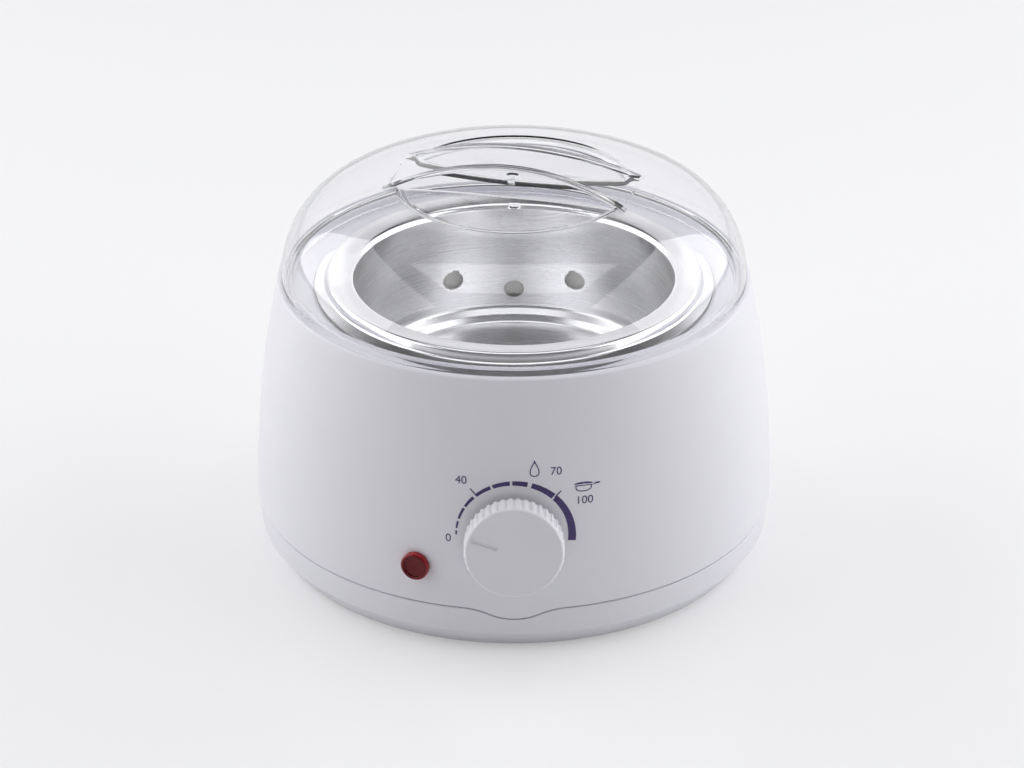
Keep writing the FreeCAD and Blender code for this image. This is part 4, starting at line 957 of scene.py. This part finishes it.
class HEATER_OT_print(bpy.types.Operator):
    """Prints the dial's scale, plain numbers and two small signs on the body's wall"""
    bl_idname = "heater.print"
    bl_label = "Printed Scale"

    def scale(self, bm, sizes):
        """Dashes that widen clockwise, with a tick outside two of the gaps."""
        middle, thin, thick = sizes.scale_radius / MM, sizes.scale_thin / MM, sizes.scale_thick / MM
        first, last = SCALE_DASHES[0][0], SCALE_DASHES[-1][1]
        for start, end in SCALE_DASHES:
            turned = Matrix.Rotation(math.radians(start), 3, "Z")
            ends = [bm.verts.new(turned @ Vector((middle + side, 0, 0))) for side in (-0.5, 0.5)]
            edge = bm.edges.new(ends)
            drawn = set(bm.verts) - set(ends)
            bmesh.ops.spin(bm, geom=ends + [edge], cent=(0, 0, 0), axis=UP, angle=math.radians(end - start),
                           steps=max(2, round((start - end) / SCALE_STEP)))
            for vert in set(bm.verts) - drawn:
                around = math.degrees(math.atan2(vert.co.y, vert.co.x))
                width = thin + (thick - thin) * (first - around) / (first - last)
                reach = vert.co.length
                vert.co *= (middle + (reach - middle) * width) / reach
        for degrees in SCALE_TICKS:
            bar = Matrix.Diagonal((TICK_SPAN[1] - TICK_SPAN[0], TICK_WIDTH, 1, 1))
            bmesh.ops.create_grid(bm, x_segments=1, y_segments=1, size=0.5,
                                  matrix=on_ring(degrees, sum(TICK_SPAN) / 2) @ bar)

    def numeral(self, bm, text, height, u, v):
        """A number as a flat mesh, centred on a point of the wall."""
        font = bpy.data.curves.new("numeral", "FONT")
        font.body, font.size, font.align_x, font.align_y = text, height / CAP_HEIGHT, "CENTER", "CENTER"
        obj = bpy.data.objects.new("numeral", font)
        bpy.context.scene.collection.objects.link(obj)
        mesh = bpy.data.meshes.new_from_object(obj.evaluated_get(bpy.context.evaluated_depsgraph_get()))
        mesh.transform(Matrix.Translation((u, v, 0)))
        bm.from_mesh(mesh)
        bpy.data.objects.remove(obj)
        bpy.data.curves.remove(font)
        bpy.data.meshes.remove(mesh)

    def outline(self, bm, points):
        """A closed line through points of the wall."""
        face = bm.faces.new([bm.verts.new((u, v, 0)) for u, v in points])
        face.normal_update()
        bmesh.ops.inset_region(bm, faces=[face], thickness=SIGN_LINE, use_boundary=True, use_even_offset=True)
        bmesh.ops.delete(bm, geom=[face], context="FACES_ONLY")

    def drop(self, bm, u, v):
        """A falling drop."""
        turns = [math.tau * step / DROP_POINTS for step in range(DROP_POINTS)]
        half_width, half_height = DROP_SIZE[0] / 2, DROP_SIZE[1] / 2
        self.outline(bm, [(u + half_width * DROP_FULLNESS * math.sin(t) * math.sin(t / 2) ** DROP_TAPER,
                           v + half_height * math.cos(t)) for t in turns])

    def dish(self, bm, u, v):
        """A round-bottomed dish with a lid and a handle."""
        turns = [math.pi * step / DISH_POINTS for step in range(DISH_POINTS + 1)]
        self.outline(bm, [(u - DISH_BOWL_R * math.cos(t),
                           v + DISH_BOWL_TOP - DISH_BOWL_DEPTH * math.sin(t) ** DISH_ROUNDNESS) for t in turns])
        self.outline(bm, [(u + DISH_COVER_R * math.cos(t),
                           v + DISH_COVER_FOOT + DISH_COVER_RISE * math.sin(t)) for t in turns])
        self.outline(bm, [(u + x, v + y) for x, y in DISH_HANDLE])

    def execute(self, context):
        sizes = context.scene.heater_sizes
        bm = bmesh.new()
        self.scale(bm, sizes)
        self.drop(bm, *DROP_PLACE)
        self.dish(bm, *DISH_PLACE)
        for text, u, v in NUMERALS:
            self.numeral(bm, text, sizes.numeral_height / MM, u, v)
        bm.normal_update()
        for face in bm.faces:
            if face.normal.z < 0:
                face.normal_flip()
        grown = bmesh.ops.extrude_face_region(bm, geom=bm.faces[:], use_keep_orig=True)["geom"]
        raised = set(picked(grown, BMVert))
        for vert in bm.verts:
            depth = 0.0
            for _ in range(SETTLING_ROUNDS):
                point = PRINT @ Vector((vert.co.x, vert.co.y, depth))
                depth += wall_radius(point.z) - point.xy.length
            vert.co.z = depth + (INK_DEPTH if vert in raised else -INK_ROOT)
        merge(bm)
        finish = ink("scale_ink", context.scene.heater_colours.print)
        place(bm, "printed_scale", "heater", finish, at=PRINT)
        return {"FINISHED"}


class HEATER_OT_gland(bpy.types.Operator):
    """Turns the rear cord gland with a ribbed collar"""
    bl_idname = "heater.gland"
    bl_label = "Cord Gland"

    def execute(self, context):
        section = Section(GLAND_CAVITY_R, GLAND_START_Y).line(GLAND_THREAD_R, GLAND_START_Y, 0.4)
        section.line(GLAND_THREAD_R, GLAND_FACE_Y).line(GLAND_COLLAR_R, GLAND_FACE_Y, 0.3)
        section.line(GLAND_COLLAR_R, GLAND_COLLAR_END_Y, 0.8).line(GLAND_NOSE_R, GLAND_END_Y, 1.0)
        section.line(GLAND_BORE_R, GLAND_END_Y, 0.6).line(GLAND_BORE_R, GLAND_BORE_START_Y)
        section.line(GLAND_CAVITY_R, GLAND_BORE_START_Y).close()
        bm = section.turn(steps=120)
        grooves = bmesh.new()
        for rib in range(GLAND_RIBS):
            at = on_ring(360 * rib / GLAND_RIBS, GLAND_COLLAR_R + GROOVE_OUT)
            add_rod(grooves, GROOVE_R, GLAND_FACE_Y + GROOVE_START, GLAND_COLLAR_END_Y + GROOVE_PAST, at,
                    segments=16)
        bm = combine(bm, grooves, "DIFFERENCE")
        colour = context.scene.heater_colours.gland
        finish = moulded_plastic("gland_nylon_moulded", colour, roughness=0.45, grain=0.2)
        place(bm, "cord_gland_ribbed", "heater", finish, ["cord_gland"], at=REAR)
        return {"FINISHED"}


class HEATER_OT_feet(bpy.types.Operator):
    """Turns the four rubber feet"""
    bl_idname = "heater.feet"
    bl_label = "Feet"

    def execute(self, context):
        finish = rubber("foot_rubber_moulded", context.scene.heater_colours.feet)
        inner, outer = (FOOT_R - side for side in FOOT_HOLLOW_SIDES)
        for name, degrees in FEET.items():
            section = Section(0, FOOT_HOLLOW).line(inner, FOOT_HOLLOW, 0.1).line(outer, 0, 0.1)
            section.line(FOOT_R - FOOT_EDGE, 0, 0.3).line(FOOT_R, FOOT_EDGE, 0.3).line(FOOT_R, FOOT_SEAT_Z, 0.2)
            section.line(FOOT_STEM_R, FOOT_SEAT_Z).line(FOOT_STEM_R, BASE_FLOOR_Z)
            section.line(FOOT_BARB_R, BASE_FLOOR_Z, 0.2).line(FOOT_STEM_R, FOOT_TIP_Z, 0.4).line(0, FOOT_TIP_Z)
            at = on_ring(degrees, FOOT_RING_R)
            place(section.turn(steps=72), name + "_rubber", "heater", finish, [name], at=at)
        return {"FINISHED"}


class HEATER_OT_inside(bpy.types.Operator):
    """Gives the inner pieces the finish of their slots"""
    bl_idname = "heater.inside"
    bl_label = "Inner Pieces"

    METALS = {"cast_aluminium": 0.45, "sheet_steel": 0.32, "sheath_steel": 0.5, "fastener_steel": 0.3,
              "brass_fittings": 0.28, "copper": 0.3}
    CLOTHS = ("fibre", "fuse_sleeve")
    RUBBERS = ("silicone", "foot_rubber")

    def execute(self, context):
        finishes = {}
        for material in frame["record"]["materials"]:
            slot, colour = material["slot"], tuple(material["base_color"][:3])
            if slot in self.METALS:
                finishes[slot] = brushed_metal(slot + "_finish", colour, self.METALS[slot])
            elif slot in self.CLOTHS:
                finishes[slot] = woven_fibre(slot + "_finish", colour)
            elif slot in self.RUBBERS:
                finishes[slot] = rubber(slot + "_finish", colour)
            elif slot == "bulb_glass":
                finishes[slot] = bulb_glass(slot + "_finish", colour)
            else:
                finishes[slot] = moulded_plastic(slot + "_finish", colour, roughness=0.45, grain=0.15)
        for name, node in frame["nodes"].items():
            node.data.materials.clear()
            node.data.materials.append(finishes[SLOT_OF[name]])
        return {"FINISHED"}


class HEATER_OT_stage(bpy.types.Operator):
    """Sets the pale floor, the soft lamps and the camera"""
    bl_idname = "heater.stage"
    bl_label = "Stage"

    def floor(self, look):
        """A wide floor that glows a little where it is seen, and keeps the heater's shadow."""
        bm = bmesh.new()
        bmesh.ops.create_grid(bm, x_segments=1, y_segments=1, size=FLOOR_HALF_WIDTH)
        mesh = bpy.data.meshes.new("stage_floor")
        bm.to_mesh(mesh)
        bm.free()
        nodes = Finish("floor_paper")
        lit = nodes.principled(Base_Color=(*look.floor, 1), Roughness=look.floor_roughness)
        white = nodes.add("ShaderNodeEmission", {"Color": (*look.backdrop, 1), "Strength": 1.0})
        seen = nodes.ray("Camera").math("MAXIMUM", nodes.ray("Transmission"))
        mesh.materials.append(nodes.show(nodes.mix_shaders(seen * look.floor_glow, lit, white)))
        floor = bpy.data.objects.new("stage_floor", mesh)
        bpy.context.scene.collection.objects.link(floor)

    def world(self, look):
        """A pale wall all round, higher behind, a dim room above it, and a backdrop for the camera."""
        world = bpy.data.worlds.new("studio")
        bpy.context.scene.world = world
        world.use_nodes = True
        nodes = NodeTree(world.node_tree)
        _, behind, height = nodes.split(nodes.add("ShaderNodeTexCoord", out="Generated"))
        top = nodes.smooth(behind, *WALL_SIDES) * (WALL_TOPS[1] - WALL_TOPS[0]) + WALL_TOPS[0]
        wall = nodes.smooth(top - height, -WALL_FADE, WALL_FADE)
        dim = nodes.shades(nodes.smooth(behind, *DARK_SIDES), darker(look.light, look.room), DARK)
        glow = nodes.blend(wall, dim, darker(look.light, look.wall))
        soft = nodes.add("ShaderNodeBackground", {"Color": glow, "Strength": 1.0})
        seen = nodes.add("ShaderNodeBackground", {"Color": (*look.backdrop, 1), "Strength": 1.0})
        nodes.add("ShaderNodeOutputWorld", {"Surface": nodes.mix_shaders(nodes.ray("Camera"), soft, seen)})

    def lamp(self, look, name, azimuth, elevation, size, power):
        """A soft rectangular lamp that faces the heater."""
        light = bpy.data.lights.new(name, "AREA")
        light.shape, light.size, light.size_y, light.energy = "RECTANGLE", *size, power
        light.color = look.light
        around, up = math.radians(azimuth), math.radians(elevation)
        away = Vector((math.sin(around) * math.cos(up), -math.cos(around) * math.cos(up), math.sin(up)))
        lamp = bpy.data.objects.new(name, light)
        lamp.location = LAMP_AIM + away * LAMP_DISTANCE
        lamp.rotation_euler = away.to_track_quat("Z", "Y").to_euler()
        bpy.context.scene.collection.objects.link(lamp)

    def execute(self, context):
        look = context.scene.stage_look
        self.floor(look)
        self.world(look)
        for name, setting in STAGE_LAMPS.items():
            self.lamp(look, name, *setting)
        view = bpy.data.cameras.new("photo_camera")
        view.lens, view.sensor_width = look.lens, SENSOR_WIDTH
        camera = bpy.data.objects.new("photo_camera", view)
        camera.location = CAMERA_PLACE
        camera.rotation_euler = CAMERA_LOOK.to_track_quat("-Z", "Y").to_euler()
        context.scene.collection.objects.link(camera)
        context.scene.camera = camera
        context.scene.view_settings.view_transform = "Standard"
        return {"FINISHED"}


class HEATER_PT_panel(bpy.types.Panel):
    """The heater's pieces, sizes and colours"""
    bl_idname = "HEATER_PT_panel"
    bl_label = "Wax Heater"
    bl_space_type = "VIEW_3D"
    bl_region_type = "UI"
    bl_category = "Wax Heater"

    def draw(self, context):
        for operator in OPERATORS:
            self.layout.operator(operator.bl_idname)
        for group in (context.scene.heater_sizes, context.scene.heater_colours, context.scene.stage_look):
            column = self.layout.column()
            for key in group.__annotations__:
                column.prop(group, key)


OPERATORS = (HEATER_OT_inside, HEATER_OT_housing, HEATER_OT_base, HEATER_OT_well, HEATER_OT_lid, HEATER_OT_knob,
             HEATER_OT_lamp, HEATER_OT_print, HEATER_OT_gland, HEATER_OT_feet, HEATER_OT_stage)
GROUPS = {"heater_sizes": HeaterSizes, "heater_colours": HeaterColours, "stage_look": StageLook}


def register():
    for cls in (*GROUPS.values(), *OPERATORS, HEATER_PT_panel):
        bpy.utils.register_class(cls)
    for name, group in GROUPS.items():
        setattr(bpy.types.Scene, name, PointerProperty(type=group))


def unregister():
    for name in GROUPS:
        delattr(bpy.types.Scene, name)
    for cls in (HEATER_PT_panel, *OPERATORS, *GROUPS.values()):
        bpy.utils.unregister_class(cls)


def main():
    register()
    for operator in OPERATORS:
        getattr(bpy.ops.heater, operator.bl_idname.split(".")[1])()


if __name__ == "__main__":
    main()
